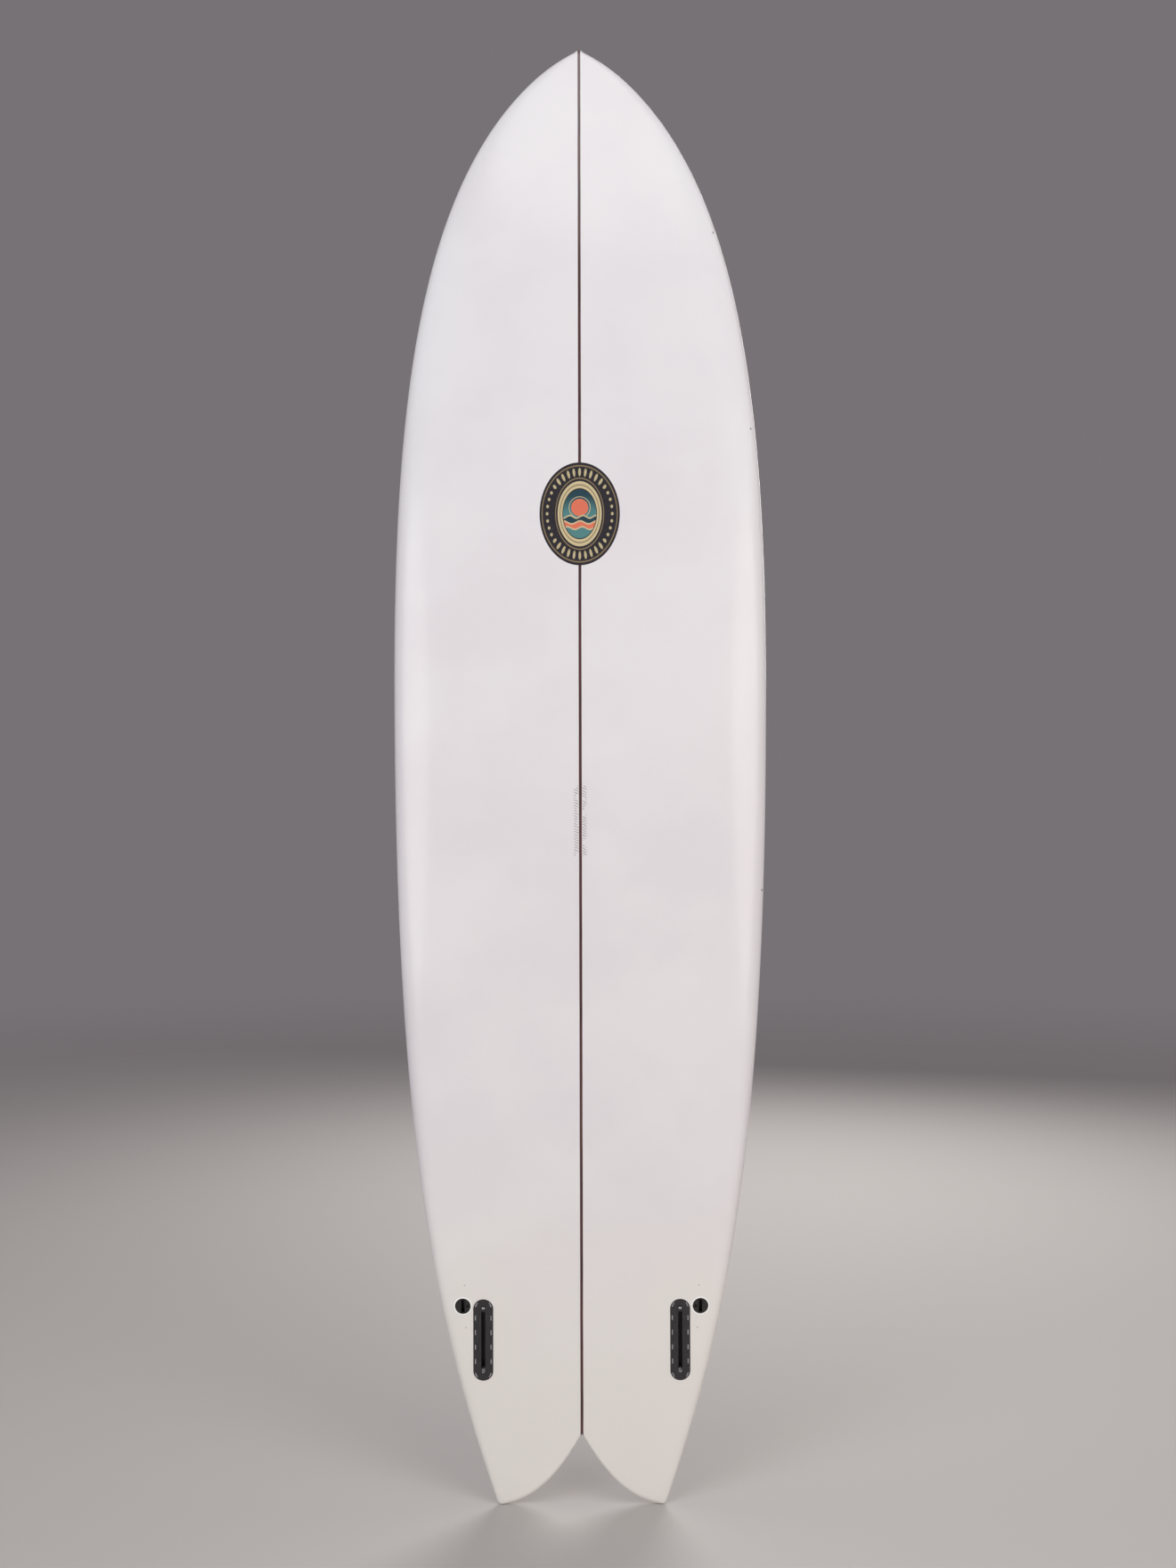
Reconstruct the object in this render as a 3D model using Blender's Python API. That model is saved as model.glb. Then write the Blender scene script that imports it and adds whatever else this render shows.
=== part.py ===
"""A twin-fin surfboard with a swallow tail, standing on its tail with its nose up.

Metres, +Z up. The bottom of the board faces -Y, the deck +Y, and +X is the right as the bottom is looked at.
The origin is at the foot of the tail tips, midway across the board and midway through its depth.
"""

import math

import bmesh
import bpy
import numpy as np
from mathutils import Matrix, Vector

# Overall size.
LENGTH = 2.134
HALF_WIDTH = 0.2665
WIDE_POINT = 1.190
THICKNESS = 0.070
THICKEST_POINT = 1.125
NOSE_THICKNESS = 0.014
TAIL_THICKNESS = 0.017
GAP = 0.0003

# Rocker: how far the bottom curves away from a flat floor, and how late that curve comes.
NOSE_ROCKER = 0.120
TAIL_ROCKER = 0.048
LOW_POINT = 0.95
NOSE_ROCKER_POWER = 2.6
TAIL_ROCKER_POWER = 2.0
DEPTH_MIDDLE = 0.0662

# How late the thickness falls away, and how the rounded bottom and deck meet the rail.
NOSE_TAPER_POWER = 2.0
TAIL_TAPER_POWER = 2.5
BOTTOM_ROUND = 1 / 2.2
DECK_ROUND = 1 / 1.8

# Outline: points are (height above the tail tips, half width), and handles are lengths along the tangent.
NOSE_SHOULDER = (2.0737, 0.0777)
NOSE_SHOULDER_ANGLE = math.radians(42.7)
SHOULDER_HANDLES = (0.237, 0.0661)
NOSE_HANDLE = 0.003
WIDE_HANDLES = (0.6787, 0.378)
TAIL_HANDLE = (0.2614, 0.2070)
TIP_HALF_WIDTH = 0.1222
TIP_HEIGHT = 0.004

# Swallow tail: how high its crack comes, and the curve from the crack down to each tip.
CRACK_HEIGHT = 0.105
CRACK_POWERS = (2.62, 0.85)
CRACK_SLANT = (0.95, 1.3)
TIP_CORNER = 0.955
TIP_ROUND = 0.0045
TIP_DROP = 0.0008

# Skins and stringer.
SKIN = 0.0013
STRINGER_HALF = 0.00175

# Fin boxes: where each one's middle sits, and its size.
BOX_ACROSS = 0.1412
BOX_HEIGHT = 0.2455
BOX_TOE_IN = math.radians(0.3)
FLANGE_HALF = (0.01415, 0.0597)
BODY_HALF = (0.0075, 0.0530)
FLANGE_TOP = 0.0002
FLANGE_UNDER = -0.0024
BODY_FOOT = -0.0172
BED_FOOT = -0.0193
SLOT_WIDTH = 0.0058
SLOT_ENDS = (-0.0427, 0.0417)
SLOT_FOOT = -0.0150
LEDGE_END = -0.0485
LEDGE_FOOT = -0.0030
WINDOW_SIZE = (0.0018, 0.0077)
WINDOW_ROWS = (-0.0316, -0.0105, 0.0110, 0.0323)
WINDOW_ACROSS = 0.0112
CORNER_WINDOW = (0.0100, 0.0517)
CORNER_WINDOW_TURN = math.radians(24)
POST_RECESS = 0.0001

# Round fin plugs.
PLUG_ACROSS = 0.1701
PLUG_HEIGHT = 0.2951
PLUG_RADIUS = 0.0112
PLUG_CHAMFER = 0.0004
PLUG_FOOT = -0.0140
PLUG_SLOT = (0.0050, 0.0186)
PLUG_SLOT_FOOT = -0.0110
COLLAR_RADIUS = 0.0131
COLLAR_FOOT = -0.0150

# Grub screws.
BOX_SCREW_RADIUS = 0.0024
BOX_SCREW_LENGTH = 0.008
BOX_SCREW_LEAN = math.radians(30)
BOX_SCREW_MOUTH = 0.0477
PLUG_SCREW_RADIUS = 0.0019
PLUG_SCREW_LENGTH = 0.006
PLUG_SCREW_LEAN = math.radians(22)
PLUG_SCREW_MOUTH = 0.0066
SCREW_RECESS = 0.0016
SCREW_CHAMFER = 0.15
HEX_SHARE = 0.55

# Leash plug on the deck.
LEASH_ACROSS = 0.030
LEASH_HEIGHT = 0.182
CUP_RADIUS = 0.0145
CUP_BORE = 0.0115
CUP_FOOT = -0.0170
CUP_FLOOR = -0.0140
CUP_FLOOR_RADIUS = 0.00805
CUP_WALL_FOOT = -0.0105
PIN_RADIUS = 0.00175
PIN_DEPTH = -0.0055
PIN_HALF = 0.0132
CUP_COLLAR_RADIUS = 0.0165
CUP_COLLAR_FOOT = -0.0180

# Oval logo under the bottom lamination.
LOGO_HEIGHT = 1.4266
LOGO_HALF = (0.0573, 0.0728)
LOGO_DEPTH = 0.0006

# How finely the board's surface is divided.
COLUMNS = (0, 0.27, 0.52, 0.72, 0.85, 0.93, 0.972, 0.992, 1.0)
ROWS = (
    0, 0.00015, 0.0008, 0.002, 0.005, 0.013, 0.032, 0.062, 0.10, 0.15, 0.205, 0.265, 0.33, 0.40, 0.47,
    0.54, 0.61, 0.68, 0.745, 0.805, 0.855, 0.895, 0.927, 0.952, 0.970, 0.983, 0.9915, 0.9965, 0.9990, 1.0,
)
TAIL_EDGE = 0.009
TAIL_EDGE_POWER = 3.0
NOSE_EDGE = 0.012
NOSE_EDGE_POWER = 2.2
LOGO_SIDES = 28
SLOPE_STEP = 0.02

# How far cutters reach past what they cut.
PAST = 0.002
PROUD = 0.010


def clear_scene():
    for old in list(bpy.data.objects):
        bpy.data.objects.remove(old, do_unlink=True)


def material(name, colour, roughness, metallic=0.0):
    """A Principled surface in one colour."""
    made = bpy.data.materials.new(name)
    made.use_nodes = True
    shader = made.node_tree.nodes["Principled BSDF"]
    shader.inputs["Base Color"].default_value = (*colour, 1.0)
    shader.inputs["Roughness"].default_value = roughness
    shader.inputs["Metallic"].default_value = metallic
    made.diffuse_color = (*colour, 1.0)
    return made


# ---------------------------------------------------------------- the board's shape


def bezier(p0, p1, p2, p3, count=60):
    t = np.linspace(0.0, 1.0, count)[:, None]
    p0, p1, p2, p3 = (np.array(p, float) for p in (p0, p1, p2, p3))
    return (1 - t) ** 3 * p0 + 3 * (1 - t) ** 2 * t * p1 + 3 * (1 - t) * t**2 * p2 + t**3 * p3


def half_outline():
    """The board's edge from a tail tip to the nose, as rows of (height, half width)."""
    lean = np.array((-math.cos(NOSE_SHOULDER_ANGLE), math.sin(NOSE_SHOULDER_ANGLE)))
    shoulder = np.array(NOSE_SHOULDER)
    wide = (WIDE_POINT, HALF_WIDTH)
    before_wide = (WIDE_POINT - WIDE_HANDLES[0], HALF_WIDTH)
    after_wide = (WIDE_POINT + WIDE_HANDLES[1], HALF_WIDTH)
    before_shoulder = shoulder + SHOULDER_HANDLES[0] * lean
    after_shoulder = shoulder - SHOULDER_HANDLES[1] * lean
    tail = bezier((TIP_HEIGHT, TIP_HALF_WIDTH), TAIL_HANDLE, before_wide, wide)
    middle = bezier(wide, after_wide, before_shoulder, shoulder)
    nose = bezier(shoulder, after_shoulder, (LENGTH - NOSE_HANDLE, 0.0), (LENGTH, 0.0))
    return np.vstack([tail, middle[1:], nose[1:]])


def planform(inset, from_x=0.0):
    """The outline moved inwards by inset, and the height at which it comes in to from_x at the nose."""
    curve = half_outline()
    along = np.gradient(curve, axis=0)
    along /= np.linalg.norm(along, axis=1)[:, None]
    moved = curve + inset * np.column_stack([along[:, 1], -along[:, 0]])
    past = int(np.argmax(np.logical_and(moved[:, 1] <= from_x, moved[:, 0] > WIDE_POINT)))
    before, after = moved[past - 1], moved[past]
    share = (before[1] - from_x) / (before[1] - after[1])
    nose = before + share * (after - before)
    edge = np.vstack([moved[:past], nose])
    return edge[:, 0], edge[:, 1]


def rocker(z):
    if z > LOW_POINT:
        return NOSE_ROCKER * ((z - LOW_POINT) / (LENGTH - LOW_POINT)) ** NOSE_ROCKER_POWER
    return TAIL_ROCKER * ((LOW_POINT - z) / LOW_POINT) ** TAIL_ROCKER_POWER


def thickness(z):
    if z > THICKEST_POINT:
        away = (z - THICKEST_POINT) / (LENGTH - THICKEST_POINT)
        return NOSE_THICKNESS + (THICKNESS - NOSE_THICKNESS) * (1 - away**NOSE_TAPER_POWER)
    away = (THICKEST_POINT - z) / THICKEST_POINT
    return TAIL_THICKNESS + (THICKNESS - TAIL_THICKNESS) * (1 - away**TAIL_TAPER_POWER)


def smooth_step(z, low, high):
    share = min(1.0, max(0.0, (z - low) / (high - low)))
    return share * share * (3 - 2 * share)


def bottom_share(z):
    """How much of the thickness lies below the widest line of the rail: a low, hard rail at the tail."""
    return 0.28 + 0.10 * smooth_step(z, 0.1, 0.8) + 0.04 * smooth_step(z, 1.33, 2.05)


def rail_height(z):
    """Y of the rail's widest line."""
    return rocker(z) + bottom_share(z) * thickness(z) - DEPTH_MIDDLE


def bottom_power(z):
    """How square the bottom's corner is: crisp at the tail, rolled towards the nose."""
    return 26.0 - 18.0 * smooth_step(z, 0.25, 0.9) - 4.6 * smooth_step(z, 1.2, 1.9)


def deck_power(z):
    """How full the deck is towards its rails: domed in the middle, fuller over the tail."""
    return 4.2 - 1.2 * smooth_step(z, 0.2, 0.8)


def tail_edge(u):
    """Height of the swallow tail's end at share u of the half width."""
    u = abs(u)
    corner = max(0.0, (u - TIP_CORNER) / (1 - TIP_CORNER))
    power = CRACK_POWERS[0] - CRACK_POWERS[1] * u
    return CRACK_HEIGHT * (1 - u) ** power + TIP_ROUND * corner**2 - TIP_DROP


def rim_turn(distance, radius, power):
    """0 at the board's edge and 1 once the surface has turned flat, radius away from it."""
    left = 1.0 - min(1.0, max(0.0, distance / radius))
    return (1.0 - left**power) ** BOTTOM_ROUND


def surface_y(x, z, side, inset, edge, tail):
    """Y of the bottom (side -1) or the deck (side +1), moved in by inset, over a tail that ends at tail."""
    half = max(float(np.interp(z, *edge)), 1e-6)
    u = min(1.0, abs(x) / half)
    if side < 0:
        depth = bottom_share(z) * thickness(z) - inset
        across = (1.0 - u ** bottom_power(z)) ** BOTTOM_ROUND
    else:
        depth = (1 - bottom_share(z)) * thickness(z) - inset
        across = (1.0 - u ** deck_power(z)) ** DECK_ROUND
    tail_turn = rim_turn(z - tail, TAIL_EDGE, TAIL_EDGE_POWER)
    nose_turn = rim_turn(edge[0][-1] - z, NOSE_EDGE, NOSE_EDGE_POWER)
    return rail_height(z) + side * depth * across * tail_turn * nose_turn


def sheet_rows(side, inset, columns, lift=0.0, from_x=0.0):
    """Rows of points over the bottom or the deck, tail first. The last row is the single point at the nose."""
    edge = planform(inset, from_x)
    nose = float(edge[0][-1])
    rows = []
    for g in ROWS[:-1]:
        row = []
        for column in columns:
            slant = 1.0 + CRACK_SLANT[0] * (1.0 - abs(column)) ** CRACK_SLANT[1]
            tail = tail_edge(column) + inset * slant
            z = tail + g * (nose - tail)
            half = float(np.interp(z, *edge))
            x = math.copysign(from_x, column) + column * (half - from_x) if from_x else column * half
            y = surface_y(x, z, side, inset, edge, tail) if 0 < g and abs(column) < 1 else rail_height(z)
            row.append(Vector((x, y + side * lift, z)))
        rows.append(row)
    rows.append([Vector((from_x, rail_height(nose) + side * lift, nose))])
    return rows


# ---------------------------------------------------------------- mesh helpers


def finished(name, bm, mat, smooth_angle=30.0):
    """Makes the object, with its faces turned outwards and its shallow edges shaded smooth."""
    bmesh.ops.recalc_face_normals(bm, faces=bm.faces)
    if bm.calc_volume(signed=True) < 0:
        bmesh.ops.reverse_faces(bm, faces=bm.faces)
    limit = math.radians(smooth_angle)
    for face in bm.faces:
        face.smooth = True
    for edge in bm.edges:
        edge.smooth = len(edge.link_faces) == 2 and edge.calc_face_angle(0.0) < limit
    mesh = bpy.data.meshes.new(name)
    bm.to_mesh(mesh)
    bm.free()
    obj = bpy.data.objects.new(name, mesh)
    bpy.context.scene.collection.objects.link(obj)
    if mat:
        obj.data.materials.append(mat)
    return obj


def as_cutter(obj):
    obj.hide_render = True
    obj.display_type = "WIRE"
    return obj


def cut(obj, cutter, operation="DIFFERENCE"):
    modifier = obj.modifiers.new(cutter.name, "BOOLEAN")
    modifier.operation = operation
    modifier.solver = "EXACT"
    modifier.object = cutter


def grid_faces(bm, rows):
    """Quads between rows of vertices, and triangles to a last row that is a single point."""
    for low, high in zip(rows, rows[1:]):
        for i in range(len(low) - 1):
            if len(high) == 1:
                bm.faces.new((low[i], low[i + 1], high[0]))
            else:
                bm.faces.new((low[i], low[i + 1], high[i + 1], high[i]))


def rim_of(rows):
    """The border of a sheet: up one side to the nose, down the other and back along the tail."""
    up = [row[0] for row in rows]
    down = [row[-1] for row in reversed(rows[:-1])]
    return up + down + list(reversed(rows[0][1:-1]))


def capsule(half, height, segments):
    """Points of a rounded-end outline, half = (half width, half length); a circle when the two are equal."""
    width, length = half
    points = []
    for end in (1, -1):
        for i in range(segments + 1):
            angle = math.pi * i / segments
            if length <= width and i == segments:
                continue
            x = end * width * math.cos(angle)
            y = end * (length - width + width * math.sin(angle))
            points.append(Vector((x, y, height)))
    return points


def stack(bm, levels, segments=8):
    """A closed solid through a stack of rounded-end outlines, each (half width, half length, height)."""
    loops = [[bm.verts.new(p) for p in capsule(level[:2], level[2], segments)] for level in levels]
    for low, high in zip(loops, loops[1:]):
        for i in range(len(low)):
            j = (i + 1) % len(low)
            bm.faces.new((low[i], low[j], high[j], high[i]))
    bm.faces.new(loops[0])
    bm.faces.new(loops[-1])


def block(bm, middle, size, turn=0.0):
    """A box about middle, turned about its own Z."""
    place = Matrix.Translation(middle) @ Matrix.Rotation(turn, 4, "Z") @ Matrix.Diagonal((*size, 1.0))
    bmesh.ops.create_cube(bm, size=1.0, matrix=place)


def placed(obj, matrix):
    obj.matrix_world = matrix
    return obj


def frame_at(x, z, side, toe=0.0):
    """A frame on the board's surface: local Z out of the board, local Y towards the nose."""
    edge = planform(0.0)

    def surface(px, pz):
        return Vector((px, surface_y(px, pz, side, 0.0, edge, 0.0), pz))

    across = surface(x + SLOPE_STEP, z) - surface(x - SLOPE_STEP, z)
    along = surface(x, z + SLOPE_STEP) - surface(x, z - SLOPE_STEP)
    out = across.cross(along) if side < 0 else along.cross(across)
    out.normalize()
    along = (along - along.dot(out) * out).normalized()
    along = Matrix.Rotation(toe, 3, out) @ along
    across = along.cross(out)
    turn = Matrix((across, along, out)).transposed().to_4x4()
    return Matrix.Translation(surface(x, z)) @ turn


# ---------------------------------------------------------------- skins, foam and stringer


def skin(name, side, mat):
    """Half of the fibreglass shell, from the rail line over the bottom or the deck."""
    columns = [-c for c in reversed(COLUMNS[1:])] + list(COLUMNS)
    bm = bmesh.new()
    sheets = []
    for inset in (0.0, SKIN):
        rows = sheet_rows(side, inset, columns, lift=GAP / 2)
        sheets.append([[bm.verts.new(p) for p in row] for row in rows])
        grid_faces(bm, sheets[-1])
    outer, inner = (rim_of(rows) for rows in sheets)
    for i in range(len(outer)):
        j = (i + 1) % len(outer)
        bm.faces.new((outer[i], outer[j], inner[j], inner[i]))
    return finished(name, bm, mat)


def foam_half(name, hand, mat):
    """The shaped foam on one side of the stringer: hand -1 is the left, +1 the right."""
    inset = SKIN + GAP
    from_x = STRINGER_HALF + GAP
    bottom = sheet_rows(-1, inset, COLUMNS, from_x=from_x)
    deck = sheet_rows(1, inset, COLUMNS, from_x=from_x)
    bm = bmesh.new()
    lower, upper = [], []
    for r, (low, high) in enumerate(zip(bottom, deck)):
        lower.append([bm.verts.new((hand * p.x, p.y, p.z)) for p in low])
        upper.append([])
        for c, p in enumerate(high):
            shared = r == 0 or c == len(COLUMNS) - 1 or len(high) == 1
            upper[-1].append(lower[-1][c] if shared else bm.verts.new((hand * p.x, p.y, p.z)))
    grid_faces(bm, lower)
    grid_faces(bm, upper)
    for r in range(len(lower) - 1):
        wall = [lower[r][0], lower[r + 1][0], upper[r + 1][0], upper[r][0]]
        bm.faces.new(list(dict.fromkeys(wall)))
    return finished(name, bm, mat)


def stringer(mat):
    """The strip of wood on the centre line, from the nose to the crack of the tail."""
    inset = SKIN + GAP
    bottom = sheet_rows(-1, inset, (0.0,), from_x=STRINGER_HALF)
    deck = sheet_rows(1, inset, (0.0,), from_x=STRINGER_HALF)
    bm = bmesh.new()
    loops = []
    for low, high in zip(bottom[1:-1], deck[1:-1]):
        corners = ((-1, low[0]), (1, low[0]), (1, high[0]), (-1, high[0]))
        loops.append([bm.verts.new((s * STRINGER_HALF, p.y, p.z)) for s, p in corners])
    for low, high in zip(loops, loops[1:]):
        for i in range(4):
            j = (i + 1) % 4
            bm.faces.new((low[i], low[j], high[j], high[i]))
    bm.faces.new(loops[0])
    bm.faces.new(loops[-1])
    return finished("stringer", bm, mat)


def logo_solid(name, grow, out, deep, mat):
    """An oval that follows the bottom's surface, from out above it to deep below it."""
    edge = planform(0.0)
    bm = bmesh.new()
    layers = []
    for lift in (out, -deep):
        centre = bm.verts.new((0, surface_y(0, LOGO_HEIGHT, -1, 0.0, edge, 0.0) - lift, LOGO_HEIGHT))
        rings = []
        for share in (0.5, 1.0):
            ring = []
            for i in range(LOGO_SIDES):
                angle = math.tau * i / LOGO_SIDES
                x = share * (LOGO_HALF[0] + grow) * math.cos(angle)
                z = LOGO_HEIGHT + share * (LOGO_HALF[1] + grow) * math.sin(angle)
                ring.append(bm.verts.new((x, surface_y(x, z, -1, 0.0, edge, 0.0) - lift, z)))
            rings.append(ring)
        for i in range(LOGO_SIDES):
            j = (i + 1) % LOGO_SIDES
            bm.faces.new((centre, rings[0][i], rings[0][j]))
            bm.faces.new((rings[0][i], rings[1][i], rings[1][j], rings[0][j]))
        layers.append(rings[1])
    for i in range(LOGO_SIDES):
        j = (i + 1) % LOGO_SIDES
        bm.faces.new((layers[0][i], layers[0][j], layers[1][j], layers[1][i]))
    return finished(name, bm, mat)


# ---------------------------------------------------------------- fin boxes


def box_windows(bm, shrink, foot, top):
    """The twelve resin windows of the flange, each shrunk by that much all round."""
    size = (WINDOW_SIZE[0] - 2 * shrink, WINDOW_SIZE[1] - 2 * shrink, top - foot)
    height = (top + foot) / 2
    for hand in (-1, 1):
        for y in WINDOW_ROWS:
            block(bm, (hand * WINDOW_ACROSS, y, height), size)
        for end in (-1, 1):
            middle = (hand * CORNER_WINDOW[0], end * CORNER_WINDOW[1], height)
            block(bm, middle, size, hand * end * CORNER_WINDOW_TURN)


def solid(name, levels, matrix, mat=None, segments=8):
    bm = bmesh.new()
    stack(bm, levels, segments)
    return placed(finished(name, bm, mat), matrix)


def windows_object(name, shrink, foot, top, matrix):
    bm = bmesh.new()
    box_windows(bm, shrink, foot, top)
    return as_cutter(placed(finished(name, bm, None), matrix))


def block_cutter(name, middle, size, matrix):
    bm = bmesh.new()
    block(bm, middle, size)
    return as_cutter(placed(finished(name, bm, None), matrix))


def screw_frame(base, mouth, axis, lean):
    """A frame whose Z runs up out of a grub screw's bore; the bore leans about axis as it goes down."""
    return base @ Matrix.Translation(mouth) @ Matrix.Rotation(lean, 4, axis)


def grub_screw(name, radius, length, matrix, mat):
    """A headless screw with a hexagon socket, its upper end SCREW_RECESS below the bore's mouth."""
    bm = bmesh.new()
    top, foot = 0.0, -length
    chamfer = radius * SCREW_CHAMFER
    stack(bm, [
        (radius - chamfer, radius - chamfer, foot),
        (radius, radius, foot + chamfer),
        (radius, radius, top - chamfer),
        (radius - chamfer, radius - chamfer, top),
    ], segments=8)
    screw = placed(finished(name, bm, mat), matrix @ Matrix.Translation((0, 0, -SCREW_RECESS)))
    bm = bmesh.new()
    socket = radius * HEX_SHARE
    stack(bm, [(socket, socket, top - radius), (socket, socket, top + radius)], segments=3)
    socket_cutter = as_cutter(placed(finished(name + "_socket", bm, None), screw.matrix_world.copy()))
    cut(screw, socket_cutter)
    return screw


def fin_box(side_name, hand, mats):
    """One fin box, its resin bed and its grub screw. Returns the pocket that the foam and the skin need."""
    base = frame_at(hand * BOX_ACROSS, BOX_HEIGHT, -1, hand * BOX_TOE_IN)
    box = solid("fin_box_" + side_name, [
        (*BODY_HALF, BODY_FOOT),
        (*BODY_HALF, FLANGE_UNDER),
        (*FLANGE_HALF, FLANGE_UNDER),
        (*FLANGE_HALF, FLANGE_TOP),
    ], base, mats["box_plastic"], segments=10)
    slot_length = SLOT_ENDS[1] - SLOT_ENDS[0]
    slot_middle = (0, (SLOT_ENDS[0] + SLOT_ENDS[1]) / 2, SLOT_FOOT / 2 + PAST)
    slot_size = (SLOT_WIDTH, slot_length, -SLOT_FOOT + 2 * PAST)
    cut(box, block_cutter("cut_slot_" + side_name, slot_middle, slot_size, base))
    ledge_middle = (0, (SLOT_ENDS[0] + LEDGE_END) / 2, LEDGE_FOOT / 2 + PAST)
    ledge_size = (SLOT_WIDTH - GAP, SLOT_ENDS[0] - LEDGE_END + PAST, -LEDGE_FOOT + 2 * PAST)
    cut(box, block_cutter("cut_ledge_" + side_name, ledge_middle, ledge_size, base))
    cut(box, windows_object("cut_windows_" + side_name, 0.0, FLANGE_UNDER - PAST, FLANGE_TOP + PAST, base))

    screw_base = screw_frame(base, (0, BOX_SCREW_MOUTH, FLANGE_TOP), "X", -BOX_SCREW_LEAN)
    grub_screw("fin_box_screw_" + side_name, BOX_SCREW_RADIUS, BOX_SCREW_LENGTH, screw_base, mats["steel"])
    bore = BOX_SCREW_RADIUS + GAP
    bore_length = (BOX_SCREW_MOUTH - SLOT_ENDS[1]) / math.sin(BOX_SCREW_LEAN) + 2 * PAST
    bore_levels = [(bore, bore, -bore_length), (bore, bore, PROUD)]
    bore_cutter = solid("cut_bore_" + side_name, bore_levels, screw_base)
    cut(box, as_cutter(bore_cutter))

    inner = (BODY_HALF[0] + GAP, BODY_HALF[1] + GAP)
    bed = solid("fin_box_resin_bed_" + side_name, [
        (*inner, BODY_FOOT - GAP),
        (*inner, FLANGE_UNDER - GAP),
        (*FLANGE_HALF, FLANGE_UNDER - GAP),
        (*FLANGE_HALF, BED_FOOT),
    ], base, mats["bed_resin"], segments=10)
    post_top = FLANGE_TOP - POST_RECESS
    cut(bed, windows_object("join_posts_" + side_name, GAP, FLANGE_UNDER - PAST, post_top, base), "UNION")

    pocket = (FLANGE_HALF[0] + GAP, FLANGE_HALF[1] + GAP)
    return as_cutter(solid("cut_box_pocket_" + side_name, [
        (*pocket, BED_FOOT - GAP),
        (*pocket, PROUD),
    ], base, segments=10))


# ---------------------------------------------------------------- round plugs


def fin_plug(side_name, hand, mats):
    """One round fin plug, its grub screw and its white resin collar. Returns the pocket they sit in."""
    base = frame_at(hand * PLUG_ACROSS, PLUG_HEIGHT, -1)
    rim = PLUG_RADIUS - PLUG_CHAMFER
    plug = solid("fin_plug_" + side_name, [
        (PLUG_RADIUS, PLUG_RADIUS, PLUG_FOOT),
        (PLUG_RADIUS, PLUG_RADIUS, FLANGE_TOP - PLUG_CHAMFER),
        (rim, rim, FLANGE_TOP),
    ], base, mats["box_plastic"], segments=16)
    slot_middle = (0, 0, PLUG_SLOT_FOOT / 2 + PAST)
    slot_size = (*PLUG_SLOT, -PLUG_SLOT_FOOT + 2 * PAST)
    cut(plug, block_cutter("cut_plug_slot_" + side_name, slot_middle, slot_size, base))

    screw_base = screw_frame(base, (-hand * PLUG_SCREW_MOUTH, 0, FLANGE_TOP), "Y", -hand * PLUG_SCREW_LEAN)
    grub_screw("plug_screw_" + side_name, PLUG_SCREW_RADIUS, PLUG_SCREW_LENGTH, screw_base, mats["steel"])
    bore = PLUG_SCREW_RADIUS + GAP
    bore_length = (PLUG_SCREW_MOUTH - PLUG_SLOT[0] / 2) / math.sin(PLUG_SCREW_LEAN) + PAST / 2
    bore_levels = [(bore, bore, -bore_length), (bore, bore, PROUD)]
    bore_cutter = solid("cut_plug_bore_" + side_name, bore_levels, screw_base)
    cut(plug, as_cutter(bore_cutter))

    inner = PLUG_RADIUS + GAP
    collar = solid("plug_resin_collar_" + side_name, [
        (COLLAR_RADIUS, COLLAR_RADIUS, COLLAR_FOOT),
        (COLLAR_RADIUS, COLLAR_RADIUS, FLANGE_TOP - POST_RECESS),
    ], base, mats["white_resin"], segments=16)
    well = solid("cut_collar_" + side_name, [
        (inner, inner, PLUG_FOOT - GAP),
        (inner, inner, PROUD),
    ], base, segments=16)
    cut(collar, as_cutter(well))

    pocket = COLLAR_RADIUS + GAP
    return as_cutter(solid("cut_plug_pocket_" + side_name, [
        (pocket, pocket, COLLAR_FOOT - GAP),
        (pocket, pocket, PROUD),
    ], base, segments=16))


def leash_plug(mats):
    """The leash cup in the deck, its cross pin and its resin collar. Returns the pocket they sit in."""
    base = frame_at(LEASH_ACROSS, LEASH_HEIGHT, 1)
    cup = solid("leash_plug_cup", [
        (CUP_RADIUS, CUP_RADIUS, CUP_FOOT),
        (CUP_RADIUS, CUP_RADIUS, FLANGE_TOP),
    ], base, mats["cup_plastic"], segments=16)
    bore = solid("cut_cup_bore", [
        (CUP_FLOOR_RADIUS, CUP_FLOOR_RADIUS, CUP_FLOOR),
        (CUP_BORE, CUP_BORE, CUP_WALL_FOOT),
        (CUP_BORE, CUP_BORE, PROUD),
    ], base, segments=16)
    cut(cup, as_cutter(bore))
    across = base @ Matrix.Translation((0, 0, PIN_DEPTH)) @ Matrix.Rotation(math.pi / 2, 4, "Y")
    hole = PIN_RADIUS + GAP
    pin_hole = solid("cut_pin_hole", [
        (hole, hole, -PIN_HALF - GAP),
        (hole, hole, PIN_HALF + GAP),
    ], across, segments=6)
    cut(cup, as_cutter(pin_hole))
    solid("leash_pin", [
        (PIN_RADIUS, PIN_RADIUS, -PIN_HALF),
        (PIN_RADIUS, PIN_RADIUS, PIN_HALF),
    ], across, mats["steel"], segments=6)

    collar = solid("leash_resin_collar", [
        (CUP_COLLAR_RADIUS, CUP_COLLAR_RADIUS, CUP_COLLAR_FOOT),
        (CUP_COLLAR_RADIUS, CUP_COLLAR_RADIUS, FLANGE_TOP - POST_RECESS),
    ], base, mats["white_resin"], segments=16)
    inner = CUP_RADIUS + GAP
    well = solid("cut_leash_collar", [
        (inner, inner, CUP_FOOT - GAP),
        (inner, inner, PROUD),
    ], base, segments=16)
    cut(collar, as_cutter(well))
    pocket = CUP_COLLAR_RADIUS + GAP
    return as_cutter(solid("cut_leash_pocket", [
        (pocket, pocket, CUP_COLLAR_FOOT - GAP),
        (pocket, pocket, PROUD),
    ], base, segments=16))


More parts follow.
